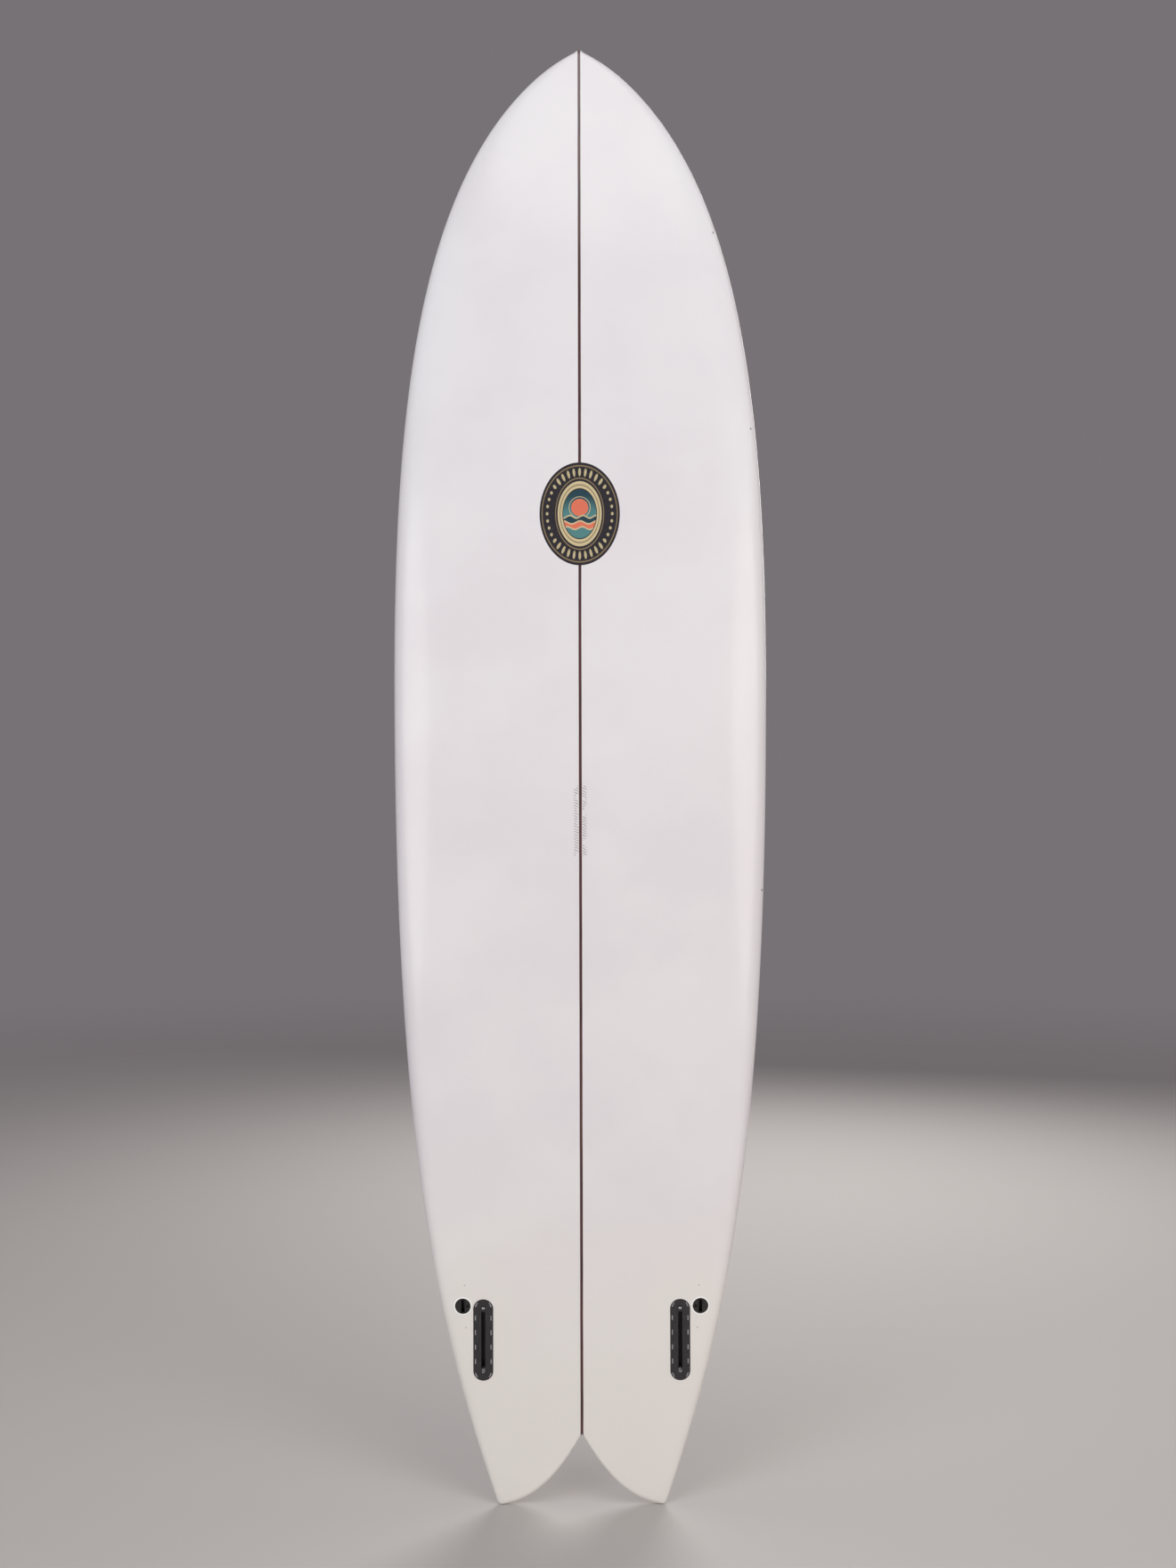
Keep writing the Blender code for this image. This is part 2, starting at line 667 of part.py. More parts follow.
# ---------------------------------------------------------------- assembly


def main():
    clear_scene()
    bpy.context.scene.unit_settings.scale_length = 1.0
    mats = {
        "foam": material("foam", (0.86, 0.84, 0.78), 0.9),
        "stringer_wood": material("stringer_wood", (0.10, 0.05, 0.04), 0.6),
        "gloss_laminate": material("gloss_laminate", (0.78, 0.77, 0.75), 0.12),
        "box_plastic": material("box_plastic", (0.035, 0.033, 0.036), 0.5),
        "bed_resin": material("bed_resin", (0.42, 0.42, 0.43), 0.3),
        "white_resin": material("white_resin", (0.85, 0.85, 0.84), 0.2),
        "cup_plastic": material("cup_plastic", (0.04, 0.04, 0.045), 0.45),
        "steel": material("steel", (0.55, 0.55, 0.56), 0.3, 1.0),
        "logo_paper": material("logo_paper", (0.06, 0.06, 0.065), 0.4),
    }
    bottom = skin("bottom_glass", -1, mats["gloss_laminate"])
    deck = skin("deck_glass", 1, mats["gloss_laminate"])
    stringer(mats["stringer_wood"])
    for side_name, hand in (("left", -1), ("right", 1)):
        foam = foam_half("foam_half_" + side_name, hand, mats["foam"])
        for pocket in (fin_box(side_name, hand, mats), fin_plug(side_name, hand, mats)):
            cut(foam, pocket)
            cut(bottom, pocket)
        if hand * LEASH_ACROSS > 0:
            pocket = leash_plug(mats)
            cut(foam, pocket)
            cut(deck, pocket)
    cut(bottom, as_cutter(logo_solid("cut_logo", GAP, PAST, LOGO_DEPTH + GAP, None)))
    logo_solid("logo_laminate", 0.0, 0.0, LOGO_DEPTH, mats["logo_paper"])


main()
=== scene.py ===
# %% [markdown]
# # A swallow-tail surfboard with two fin boxes
#
# The board stands on its two tail tips with its nose up. Its bottom, the side that rides on the water,
# faces us, so we look along +Y. A board of this kind is a foam blank, split down the middle by a strip of
# wood (the stringer), with a skin of glass cloth and resin all round. Plastic boxes for the fins and a cup
# for the leash are set into the foam with resin.
#
# We start from a plain working model of the board that is already built and can already move. Each part of
# it is a node. Here we build finer pieces around the nodes, and give every surface its finish.

# %% Load the working model
import math

import bmesh
import bpy
import numpy as np
from mathutils import Matrix, Vector


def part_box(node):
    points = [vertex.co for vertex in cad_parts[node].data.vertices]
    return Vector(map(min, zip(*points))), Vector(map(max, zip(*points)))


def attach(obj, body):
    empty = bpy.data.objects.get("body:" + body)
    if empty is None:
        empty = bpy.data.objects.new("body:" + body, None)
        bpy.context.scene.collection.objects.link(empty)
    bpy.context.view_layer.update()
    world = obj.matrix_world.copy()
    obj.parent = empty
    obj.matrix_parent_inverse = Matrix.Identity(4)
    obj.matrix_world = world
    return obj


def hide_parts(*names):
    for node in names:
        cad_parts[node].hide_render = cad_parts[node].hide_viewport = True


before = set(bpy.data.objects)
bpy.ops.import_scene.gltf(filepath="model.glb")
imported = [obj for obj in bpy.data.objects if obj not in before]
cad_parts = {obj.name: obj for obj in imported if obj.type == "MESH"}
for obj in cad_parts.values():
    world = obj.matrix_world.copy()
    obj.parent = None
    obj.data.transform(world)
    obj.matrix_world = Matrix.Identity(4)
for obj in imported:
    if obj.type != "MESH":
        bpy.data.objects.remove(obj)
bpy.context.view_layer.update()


# %% [markdown]
# ## Small tools for working as by hand
#
# Blender's operators act on whatever is selected, so before each one we say exactly what that is. `alone`
# selects one object, `edit` opens it with nothing selected, and `pick` selects vertices, edges or faces by
# where they are or which way they face.

# %% Selecting
def alone(piece):
    """Makes a piece the only selected object, and the active one."""
    bpy.ops.object.select_all(action="DESELECT")
    piece.select_set(True)
    bpy.context.view_layer.objects.active = piece
    return piece


def edit(piece):
    alone(piece)
    bpy.ops.object.mode_set(mode="EDIT")
    bpy.ops.mesh.select_all(action="DESELECT")


def pick(piece, kind, test):
    """In edit mode, selects just those verts, edges or faces that pass a test."""
    bpy.ops.mesh.select_mode(type={"verts": "VERT", "edges": "EDGE", "faces": "FACE"}[kind])
    bpy.ops.mesh.select_all(action="DESELECT")
    shape = bmesh.from_edit_mesh(piece.data)
    for item in getattr(shape, kind):
        if test(item):
            item.select_set(True)
    shape.select_flush_mode()
    bmesh.update_edit_mesh(piece.data)


def finish_edit():
    bpy.ops.object.mode_set(mode="OBJECT")


# %% [markdown]
# A primitive's place is kept on its object. We want it in the mesh instead, with the object at the origin,
# so that a pattern that reads object coordinates sees the board's own metres. `named` does both: it names
# the primitive that was just added, and applies its place.

# %% Naming, copying, carving and softening
def named(name):
    piece = bpy.context.object
    piece.name = name
    piece.data.name = name
    bpy.ops.object.transform_apply()
    return piece


def copy_of(piece, name):
    """A twin with a mesh of its own."""
    twin = piece.copy()
    twin.data = piece.data.copy()
    twin.name = name
    twin.data.name = name
    bpy.context.scene.collection.objects.link(twin)
    return twin


def moved(piece, matrix):
    """Takes a piece from the bench, where it is modelled flat at the origin, to its place on the board."""
    alone(piece)
    piece.matrix_world = matrix
    bpy.ops.object.transform_apply()
    return piece


def apply_modifier(piece, kind, **settings):
    alone(piece)
    modifier = piece.modifiers.new(kind.lower(), kind)
    for key, value in settings.items():
        setattr(modifier, key, value)
    bpy.ops.object.modifier_apply(modifier=modifier.name)


def carve(piece, cutter, operation="DIFFERENCE"):
    """Cuts a piece with another shape, or joins them, and throws the cutter away."""
    apply_modifier(piece, "BOOLEAN", operation=operation, solver="EXACT", object=cutter)
    bpy.data.objects.remove(cutter, do_unlink=True)


def soften(piece, width, segments=2):
    """Takes the sharpness off every real edge, as sanding or moulding does."""
    apply_modifier(piece, "BEVEL", width=width, segments=segments, limit_method="ANGLE",
                   angle_limit=math.radians(40), loop_slide=False)


def shade(piece, angle=20):
    alone(piece)
    bpy.ops.object.shade_smooth_by_angle(angle=math.radians(angle))


# %% [markdown]
# ## The shape of the board
#
# A shaper works from four things: the outline seen from above, the rocker (how the bottom curves up at
# the nose and the tail), the thickness along the board, and the section of the rails. Each is a smooth
# curve, so each is a short function here. Heights are measured up from the tail tips.

# %% Outline
# Points are (height, half width). Handles are distances from a curve's end to its control point.
LENGTH = 2.134
HALF_WIDTH = 0.26644
WIDE_POINT = 1.190
NOSE_SHOULDER = np.array((2.0737, 0.0777))
NOSE_SHOULDER_ANGLE = math.radians(42.7)
SHOULDER_HANDLES = (0.237, 0.0661)
NOSE_HANDLE = 0.003
WIDE_HANDLES = (0.6787, 0.378)
TAIL_CONTROL = (0.2614, 0.2070)
TAIL_TIP = (0.004, 0.1222)
NOSE_TIP_RADIUS = 0.006


def bezier(p0, p1, p2, p3, count=200):
    t = np.linspace(0.0, 1.0, count)[:, None]
    p0, p1, p2, p3 = (np.array(p, float) for p in (p0, p1, p2, p3))
    return (1 - t) ** 3 * p0 + 3 * (1 - t) ** 2 * t * p1 + 3 * (1 - t) * t**2 * p2 + t**3 * p3


def half_outline():
    """From a tail tip to the nose, as rows of (height, half width)."""
    lean = np.array((-math.cos(NOSE_SHOULDER_ANGLE), math.sin(NOSE_SHOULDER_ANGLE)))
    wide = (WIDE_POINT, HALF_WIDTH)
    before = (WIDE_POINT - WIDE_HANDLES[0], HALF_WIDTH)
    after = (WIDE_POINT + WIDE_HANDLES[1], HALF_WIDTH)
    tail = bezier(TAIL_TIP, TAIL_CONTROL, before, wide)
    middle = bezier(wide, after, NOSE_SHOULDER + SHOULDER_HANDLES[0] * lean, NOSE_SHOULDER)
    nose_start = NOSE_SHOULDER - SHOULDER_HANDLES[1] * lean
    nose = bezier(NOSE_SHOULDER, nose_start, (LENGTH - NOSE_HANDLE, 0), (LENGTH, 0))
    return np.vstack([tail, middle[1:], nose[1:]])


OUTLINE = half_outline()


def half_width(z):
    """The outline's half width, with the very tip of the nose sanded round."""
    tip = np.sqrt(2 * NOSE_TIP_RADIUS * np.clip(LENGTH - z, 0, 0.02))
    return np.maximum(np.interp(z, OUTLINE[:, 0], OUTLINE[:, 1]), tip)


print("width at the middle:", round(2 * float(half_width(LENGTH / 2)), 4), "m")

# %% Rocker and thickness
THICKNESS = 0.070
THICKEST_POINT = 1.125
NOSE_THICKNESS = 0.014
TAIL_THICKNESS = 0.017
NOSE_ROCKER = 0.120
TAIL_ROCKER = 0.048
LOW_POINT = 0.95
DEPTH_MIDDLE = 0.0662
NOSE_CURVE, TAIL_CURVE = 2.6, 2.0
NOSE_THINNING, TAIL_THINNING = 2.0, 2.5


def rocker(z):
    nose = np.clip((z - LOW_POINT) / (LENGTH - LOW_POINT), 0, 1)
    tail = np.clip((LOW_POINT - z) / LOW_POINT, 0, 1)
    return NOSE_ROCKER * nose**NOSE_CURVE + TAIL_ROCKER * tail**TAIL_CURVE


def thickness(z):
    nose = np.clip((z - THICKEST_POINT) / (LENGTH - THICKEST_POINT), 0, 1)
    tail = np.clip((THICKEST_POINT - z) / THICKEST_POINT, 0, 1)
    nose_loss = (THICKNESS - NOSE_THICKNESS) * nose**NOSE_THINNING
    tail_loss = (THICKNESS - TAIL_THICKNESS) * tail**TAIL_THINNING
    return THICKNESS - nose_loss - tail_loss


print("depth with its rocker:", round(float(rocker(LENGTH) + NOSE_THICKNESS), 4), "m at the nose")

# %% [markdown]
# A rail's section changes along the board: low and hard at the tail, so that the water lets go cleanly, and
# soft and round towards the nose. A superellipse does this with one number. The higher its power, the
# squarer the corner.

# %% Rails, swallow tail and the whole surface
BOTTOM_ROUND = 1 / 2.2
DECK_ROUND = 1 / 1.8
TAIL_EDGE = 0.009
NOSE_EDGE = 0.012
EDGE_POWER_TAIL, EDGE_POWER_NOSE = 3.0, 2.2
CRACK_HEIGHT = 0.105
CRACK_CURVE, CRACK_STRAIGHTENING = 2.62, 0.85
TIP_CORNER = 0.955
TIP_ROUND = 0.0045
TIP_DROP = 0.00035


def eased(z, low, high):
    share = np.clip((z - low) / (high - low), 0, 1)
    return share * share * (3 - 2 * share)


def bottom_share(z):
    """How much of the thickness lies below the rail's widest line."""
    return 0.28 + 0.10 * eased(z, 0.1, 0.8) + 0.04 * eased(z, 1.33, 2.05)


def bottom_power(z):
    """Squareness of the bottom's corner: hard at the tail, softer in two steps towards the nose."""
    return 26.0 - 18.0 * eased(z, 0.25, 0.9) - 4.6 * eased(z, 1.2, 1.9)


def deck_power(z):
    return 4.2 - 1.2 * eased(z, 0.2, 0.8)


def rail_height(z):
    return rocker(z) + bottom_share(z) * thickness(z) - DEPTH_MIDDLE


def tail_edge(u):
    """Height of the swallow tail's end, at a share u of the half width."""
    u = np.abs(u)
    corner = np.clip((u - TIP_CORNER) / (1 - TIP_CORNER), 0, 1)
    curve = CRACK_CURVE - CRACK_STRAIGHTENING * u
    return CRACK_HEIGHT * (1 - u) ** curve + TIP_ROUND * corner**2 - TIP_DROP


def rim_turn(distance, radius, power):
    """0 at the board's edge, and 1 once the surface has turned flat."""
    left = 1 - np.clip(distance / radius, 0, 1)
    return (1 - left**power) ** BOTTOM_ROUND


def surface_y(u, z, side, tail):
    """Y of the bottom (side -1) or the deck (side +1), at a share u of the half width and a height z.

    tail is the height at which the board ends there."""
    if side < 0:
        power, share, bend = bottom_power(z), bottom_share(z), BOTTOM_ROUND
    else:
        power, share, bend = deck_power(z), 1 - bottom_share(z), DECK_ROUND
    across = (1 - np.clip(np.abs(u), 0, 1) ** power) ** bend
    tail_end = rim_turn(z - tail, TAIL_EDGE, EDGE_POWER_TAIL)
    nose_end = rim_turn(LENGTH - z, NOSE_EDGE, EDGE_POWER_NOSE)
    return rail_height(z) + side * (share * thickness(z)) * across * (tail_end * nose_end)


def point_on(x, z, side):
    return Vector((x, float(surface_y(x / half_width(z), z, side, 0.0)), z))


def frame_on(x, z, side, toe=0.0):
    """A frame on the surface: its Z points out of the board, its Y towards the nose."""
    step = 0.02
    across = point_on(x + step, z, side) - point_on(x - step, z, side)
    along = point_on(x, z + step, side) - point_on(x, z - step, side)
    out = (across.cross(along) if side < 0 else along.cross(across)).normalized()
    along = (along - along.dot(out) * out).normalized()
    along = Matrix.Rotation(toe, 3, out) @ along
    turn = Matrix((along.cross(out), along, out)).transposed().to_4x4()
    return Matrix.Translation(point_on(x, z, side)) @ turn


print("bottom at the wide point: y =", round(point_on(0.0, WIDE_POINT, -1).y, 4), "m")

# %% [markdown]
# ## The skin
#
# On the real board the bottom's glass cloth is pulled round the rails and laps a few fingers' width onto
# the deck. The deck's cloth then goes on top. That lap is a faint line all round the deck.
#
# We could model the skin by extruding an outline, but a hull curves both ways everywhere. So each side
# starts as a flat grid whose vertices are slid onto the surface formula, packed closer where the board
# turns quickly: at the rails, the nose and the tail. The two sheets are merged along their shared edge,
# and the shell is parted again along the lap. Solidify then gives each skin its real 1.3 mm, inwards.

# %% Two grids slid onto the surface
COLUMNS = 96
ROWS = 260
SKIN = 0.0013
LAP_SHARE = 0.83
LAP_END = 0.018
CLOTH_MARKS = [bpy.data.materials.new(name) for name in ("under_bottom_cloth", "under_deck_cloth")]


def sheet(name, side):
    bpy.ops.mesh.primitive_grid_add(x_subdivisions=COLUMNS, y_subdivisions=ROWS, size=2)
    piece = named(name)
    mesh = piece.data
    flat = np.zeros(len(mesh.vertices) * 3)
    mesh.vertices.foreach_get("co", flat)
    flat = flat.reshape(-1, 3)
    u = np.sin(np.round(flat[:, 0] * COLUMNS) / COLUMNS * math.pi / 2)
    g = (1 - np.cos(np.round((flat[:, 1] + 1) / 2 * ROWS) / ROWS * math.pi)) / 2
    tail = tail_edge(u)
    z = tail + g * (LENGTH - tail)
    curved = np.column_stack([u * half_width(z), surface_y(u, z, side, tail), z])
    mesh.vertices.foreach_set("co", curved.ravel())
    inner = (np.abs(u) <= LAP_SHARE) & (g >= LAP_END) & (g <= 1 - LAP_END) & (side > 0)
    for mark in CLOTH_MARKS:
        mesh.materials.append(mark)
    for face in mesh.polygons:
        face.material_index = int(all(inner[v] for v in face.vertices))
    mesh.update()
    return piece


shell = sheet("bottom_sheet", -1)
deck_sheet = sheet("deck_sheet", 1)
print("vertices in each sheet:", len(shell.data.vertices))

# %% Merge the rail, part the lap and give the skins their thickness
alone(shell)
deck_sheet.select_set(True)
bpy.ops.object.join()
edit(shell)
bpy.ops.mesh.select_all(action="SELECT")
bpy.ops.mesh.remove_doubles(threshold=1e-6)
bpy.ops.mesh.normals_make_consistent(inside=False)
bpy.ops.mesh.separate(type="MATERIAL")
finish_edit()
deck_skin, bottom_skin = sorted(bpy.context.selected_objects, key=lambda part: len(part.data.vertices))
for skin, name in ((bottom_skin, "bottom_skin"), (deck_skin, "deck_skin")):
    skin.name = name
    skin.data.name = name
    skin.data.materials.clear()
    apply_modifier(skin, "SOLIDIFY", thickness=SKIN, offset=-1, thickness_clamp=1.0)
    print(skin.name, "faces:", len(skin.data.polygons))


# %% [markdown]
# ## Places for the hardware
#
# Each fitting is modelled flat on the bench: X across it, Y towards the nose, Z out of the board. Its
# frame on the surface then takes it to its place. The screws lean in their bores, so they have frames of
# their own.

# %% Frames of the fin boxes, the round plugs and the leash plug
# Each place is (distance from the centre line, height).
BOX_PLACE = (0.1412, 0.2455)
BOX_TOE_IN = math.radians(0.3)
PLUG_PLACE = (0.1701, 0.2951)
LEASH_PLACE = (0.030, 0.182)
HANDS = {"left": -1, "right": 1}

box_frames = {}
plug_frames = {}
for side, hand in HANDS.items():
    box_frames[side] = frame_on(hand * BOX_PLACE[0], BOX_PLACE[1], -1, hand * BOX_TOE_IN)
    plug_frames[side] = frame_on(hand * PLUG_PLACE[0], PLUG_PLACE[1], -1)
    low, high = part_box("fin_box_" + side)
    print(side, "box middle:", round(box_frames[side].translation.x, 4))
    print("working model's:", round((low.x + high.x) / 2, 4))
leash_frame = frame_on(*LEASH_PLACE, 1)

# %% [markdown]
# ## Round-ended blocks
#
# A fin box is a capsule seen from above. The quick way to one is a cylinder cut in two halves that are slid
# apart. With 66 sides no vertex lies on the dividing line, so each half stays exactly half.

# %% A block with round ends
def capsule_block(name, half, low, high, sides=66):
    """half is (half its width, half its length); low and high are its foot and its top."""
    width, length = half
    middle = (0, 0, (low + high) / 2)
    bpy.ops.mesh.primitive_cylinder_add(vertices=sides, radius=width, depth=high - low, location=middle)
    block = named(name)
    if length > width:
        edit(block)
        for end in (-1, 1):
            pick(block, "verts", lambda v: v.co.y * end > 0)
            bpy.ops.transform.translate(value=(0, end * (length - width), 0))
        finish_edit()
    return block


# %% Pockets through the skins
GAP = 0.0003
FLANGE_HALF = (0.01415, 0.0597)
COLLAR_RADIUS = 0.0131
LEASH_COLLAR_RADIUS = 0.0165
REACH = 0.030


def pocket(half, place):
    """A cutter for the hole that a fitting sits in, a hair wider than the fitting."""
    wider = (half[0] + GAP, half[1] + GAP)
    return moved(capsule_block("pocket", wider, -REACH, REACH), place)


for side in HANDS:
    carve(bottom_skin, pocket(FLANGE_HALF, box_frames[side]))
    carve(bottom_skin, pocket((COLLAR_RADIUS, COLLAR_RADIUS), plug_frames[side]))
carve(deck_skin, pocket((LEASH_COLLAR_RADIUS, LEASH_COLLAR_RADIUS), leash_frame))
for skin in (bottom_skin, deck_skin):
    shade(skin, 35)
    print(skin.name, "faces with its pockets:", len(skin.data.polygons))

# %% [markdown]
# ## The maker's oval
#
# A shaper signs a board with a printed tissue laid under the last coat of resin. It is too thin to feel,
# but it is a piece of its own, so it gets a mesh: a disc cut like a pie, subdivided so that it can bend,
# stretched to an oval and laid onto the bottom's curve. Its artwork is a finish, further down.

# %% An oval laid onto the curve
OVAL_HEIGHT = 1.4276
OVAL_HALF = (0.0573, 0.0740)
OVAL_PROUD = 0.00008
OVAL_THICKNESS = 0.0003

bpy.ops.mesh.primitive_circle_add(vertices=96, radius=1, fill_type="TRIFAN")
oval = named("maker_oval")
edit(oval)
bpy.ops.mesh.select_all(action="SELECT")
bpy.ops.mesh.subdivide(number_cuts=4)
finish_edit()
for v in oval.data.vertices:
    place = point_on(v.co.x * OVAL_HALF[0], OVAL_HEIGHT + v.co.y * OVAL_HALF[1], -1)
    v.co = place - Vector((0, OVAL_PROUD, 0))
apply_modifier(oval, "SOLIDIFY", thickness=OVAL_THICKNESS, offset=-1)
shade(oval, 40)
print("oval:", [round(d * 1000, 1) for d in oval.dimensions], "mm")

# %% [markdown]
# ## Fin boxes
#
# A fin box is a moulded nylon tray: a wide flange that ends flush with the skin, and a deep narrow body
# with a slot for the fin's tab. Windows through the flange let resin up, so that the box is locked in. A
# grub screw ahead of the slot leans back to clamp the tab, and behind the slot a small ramp helps the tab
# in.
#
# The body is the flange's underside inset and extruded. The openings are Boolean cuts, because each is a
# simple shape that meets the others. A last bevel gives the edges their moulded softness.

# %% Shapes that cut
FLANGE_TOP = 0.0002
FLANGE_UNDER = -0.0024
BODY_HALF_WIDTH = 0.0075
BODY_FOOT = -0.0172
SLOT_WIDTH = 0.0058
SLOT_ENDS = (-0.0427, 0.0417)
SLOT_FOOT = -0.0150
RAMP_END = -0.0487
RAMP_DEPTHS = (0.0007, 0.0032)
WINDOW_HALF = (0.00075, 0.0037)
WINDOW_ROWS = (-0.0316, -0.0105, 0.0110, 0.0323)
WINDOW_ACROSS = 0.0112
CORNER_WINDOW = (0.0100, 0.0517)
CORNER_TURN = math.radians(24)


def brick(name, low, high):
    """A plain cutter between two corners."""
    low, high = Vector(low), Vector(high)
    bpy.ops.mesh.primitive_cube_add(size=1, location=(low + high) / 2, scale=high - low)
    return named(name)


def window_places():
    """The twelve windows: four along each side, and one round each corner."""
    for hand in (-1, 1):
        for y in WINDOW_ROWS:
            yield Matrix.Translation((hand * WINDOW_ACROSS, y, 0))
        for end in (-1, 1):
            corner = Matrix.Translation((hand * CORNER_WINDOW[0], end * CORNER_WINDOW[1], 0))
            yield corner @ Matrix.Rotation(hand * end * CORNER_TURN, 4, "Z")


def window_blocks(shrink, low, high):
    """All twelve as one object, to cut the windows or to fill them."""
    half = (WINDOW_HALF[0] - shrink, WINDOW_HALF[1] - shrink)
    first = capsule_block("window", half, low, high, sides=18)
    blocks = [moved(copy_of(first, "window"), place) for place in window_places()]
    bpy.data.objects.remove(first, do_unlink=True)
    alone(blocks[0])
    for block in blocks:
        block.select_set(True)
    bpy.ops.object.join()
    return blocks[0]


def ramp_cutter():
    """A shallow trough behind the slot, deeper towards the slot."""
    half = SLOT_WIDTH / 2 - 0.0002
    ramp = brick("ramp", (-half, RAMP_END, -RAMP_DEPTHS[1]), (half, SLOT_ENDS[0] + 0.001, REACH))
    edit(ramp)
    pick(ramp, "verts", lambda v: v.co.z < 0 and v.co.y < SLOT_ENDS[0])
    bpy.ops.transform.translate(value=(0, 0, RAMP_DEPTHS[1] - RAMP_DEPTHS[0]))
    finish_edit()
    return ramp


# %% A grub screw's bore
BOX_SCREW_RADIUS = 0.0024
BOX_SCREW_MOUTH = 0.0477
BOX_SCREW_LEAN = math.radians(30)
BOX_BORE_DEPTH = 0.0160

box_screw_mouth = Matrix.Translation((0, BOX_SCREW_MOUTH, FLANGE_TOP))
box_screw_place = box_screw_mouth @ Matrix.Rotation(-BOX_SCREW_LEAN, 4, "X")


def bore(radius, depth, place):
    return moved(capsule_block("bore", (radius + GAP, radius + GAP), -depth, REACH, sides=40), place)


# %% The box itself
def make_fin_box():
    box = capsule_block("fin_box_shell_left", FLANGE_HALF, FLANGE_UNDER, FLANGE_TOP)
    edit(box)
    pick(box, "faces", lambda f: f.normal.z < -0.9)
    bpy.ops.mesh.inset(thickness=FLANGE_HALF[0] - BODY_HALF_WIDTH)
    bpy.ops.mesh.extrude_region_move(TRANSFORM_OT_translate={"value": (0, 0, BODY_FOOT - FLANGE_UNDER)})
    finish_edit()
    half = SLOT_WIDTH / 2
    carve(box, brick("slot", (-half, SLOT_ENDS[0], SLOT_FOOT), (half, SLOT_ENDS[1], REACH)))
    carve(box, ramp_cutter())
    carve(box, bore(BOX_SCREW_RADIUS, BOX_BORE_DEPTH, box_screw_place))
    carve(box, window_blocks(0, FLANGE_UNDER - 0.001, REACH))
    soften(box, width=0.00018)
    shade(box)
    return box


fin_box_left = make_fin_box()
fin_box_right = copy_of(fin_box_left, "fin_box_shell_right")
moved(fin_box_left, box_frames["left"])
moved(fin_box_right, box_frames["right"])
print("fin box faces:", len(fin_box_left.data.polygons))

# %% [markdown]
# ## The resin that holds the boxes
#
# Before a box goes in, its pocket is filled with resin. Pushed down, the box squeezes the resin up round
# its flange, where it sets as a hairline, and up through the windows, where it shows as twelve pale dashes.

# %% Resin beds
BED_FOOT = -0.0193
SLIVER = 0.00004
POST_RECESS = 0.00012


def grown(half, by):
    return tuple(h + by for h in half)


def make_resin_bed():
    bed = capsule_block("box_resin_left", grown(FLANGE_HALF, GAP - SLIVER), BED_FOOT, FLANGE_TOP - SLIVER)
    carve(bed, capsule_block("flange_room", grown(FLANGE_HALF, SLIVER), FLANGE_UNDER - SLIVER, REACH))
    body_half = (BODY_HALF_WIDTH, FLANGE_HALF[1] - FLANGE_HALF[0] + BODY_HALF_WIDTH)
    carve(bed, capsule_block("body_room", grown(body_half, SLIVER), BODY_FOOT - SLIVER, REACH))
    carve(bed, window_blocks(SLIVER, FLANGE_UNDER - 0.001, FLANGE_TOP - POST_RECESS), "UNION")
    shade(bed)
    return bed


bed_left = make_resin_bed()
bed_right = copy_of(bed_left, "box_resin_right")
moved(bed_left, box_frames["left"])
moved(bed_right, box_frames["right"])
print("resin bed faces:", len(bed_left.data.polygons))

# %% [markdown]
# ## Grub screws
#
# A grub screw has no head: it is a threaded rod with a hexagon socket in its end. We start from a thin
# disc and extrude its top face again and again, wide and narrow in turn, which leaves the ridges of a
# thread. The socket is cut with a six-sided cylinder.

# %% A threaded rod with a socket
BOX_SCREW_LENGTH = 0.008
BOX_SCREW_PITCH = 0.0008
SCREW_RECESS = 0.0016
SCREW_CORE = 0.84
SCREW_TIP = 0.70
SOCKET_SHARE = 0.52


def make_screw(name, radius, length, pitch):
    foot = -SCREW_RECESS - length
    screw = capsule_block(name, (radius * SCREW_TIP, radius * SCREW_TIP), foot, foot + pitch / 4, sides=40)
    edit(screw)
    pick(screw, "faces", lambda f: f.normal.z > 0.9)
    ridges = round((length - pitch / 4) / pitch)
    half_turn = (length - pitch / 4) / (2 * ridges)
    size = SCREW_TIP
    for i in range(2 * ridges):
        wanted = 1.0 if i % 2 == 0 else SCREW_CORE
        bpy.ops.mesh.extrude_region_move(TRANSFORM_OT_translate={"value": (0, 0, half_turn)})
        bpy.ops.transform.resize(value=(wanted / size, wanted / size, 1))
        size = wanted
    finish_edit()
    socket = radius * SOCKET_SHARE
    carve(screw, capsule_block("socket", (socket, socket), -SCREW_RECESS - radius, REACH, sides=6))
    shade(screw, 50)
    return screw


left_screw = make_screw("box_grub_screw_left", BOX_SCREW_RADIUS, BOX_SCREW_LENGTH, BOX_SCREW_PITCH)
box_screws = {"left": left_screw, "right": copy_of(left_screw, "box_grub_screw_right")}
for side, screw in box_screws.items():
    moved(screw, box_frames[side] @ box_screw_place)
print("screw faces:", len(left_screw.data.polygons))

# %% [markdown]
# ## Round plugs
#
# Outboard of each box sits a small round plug for a second, smaller fin. It is a puck with a raised rim, a
# slot from side to side and its own leaning grub screw on the inboard side. White resin holds it in, and
# shows as a bright ring. The right-hand plug is the left-hand one turned half round.

# %% Plug, collar and screw
PLUG_RADIUS = 0.0112
PLUG_FOOT = -0.0140
PLUG_RIM = 0.0009
PLUG_FACE_DROP = 0.0002
PLUG_SLOT_HALF = (0.0025, 0.0093)
PLUG_SLOT_FOOT = -0.0110
COLLAR_FOOT = -0.0150
PLUG_SCREW_RADIUS = 0.0019
PLUG_SCREW_LENGTH = 0.006
PLUG_SCREW_PITCH = 0.0007
PLUG_SCREW_MOUTH = 0.0066
PLUG_SCREW_LEAN = math.radians(22)
PLUG_BORE_DEPTH = 0.0120

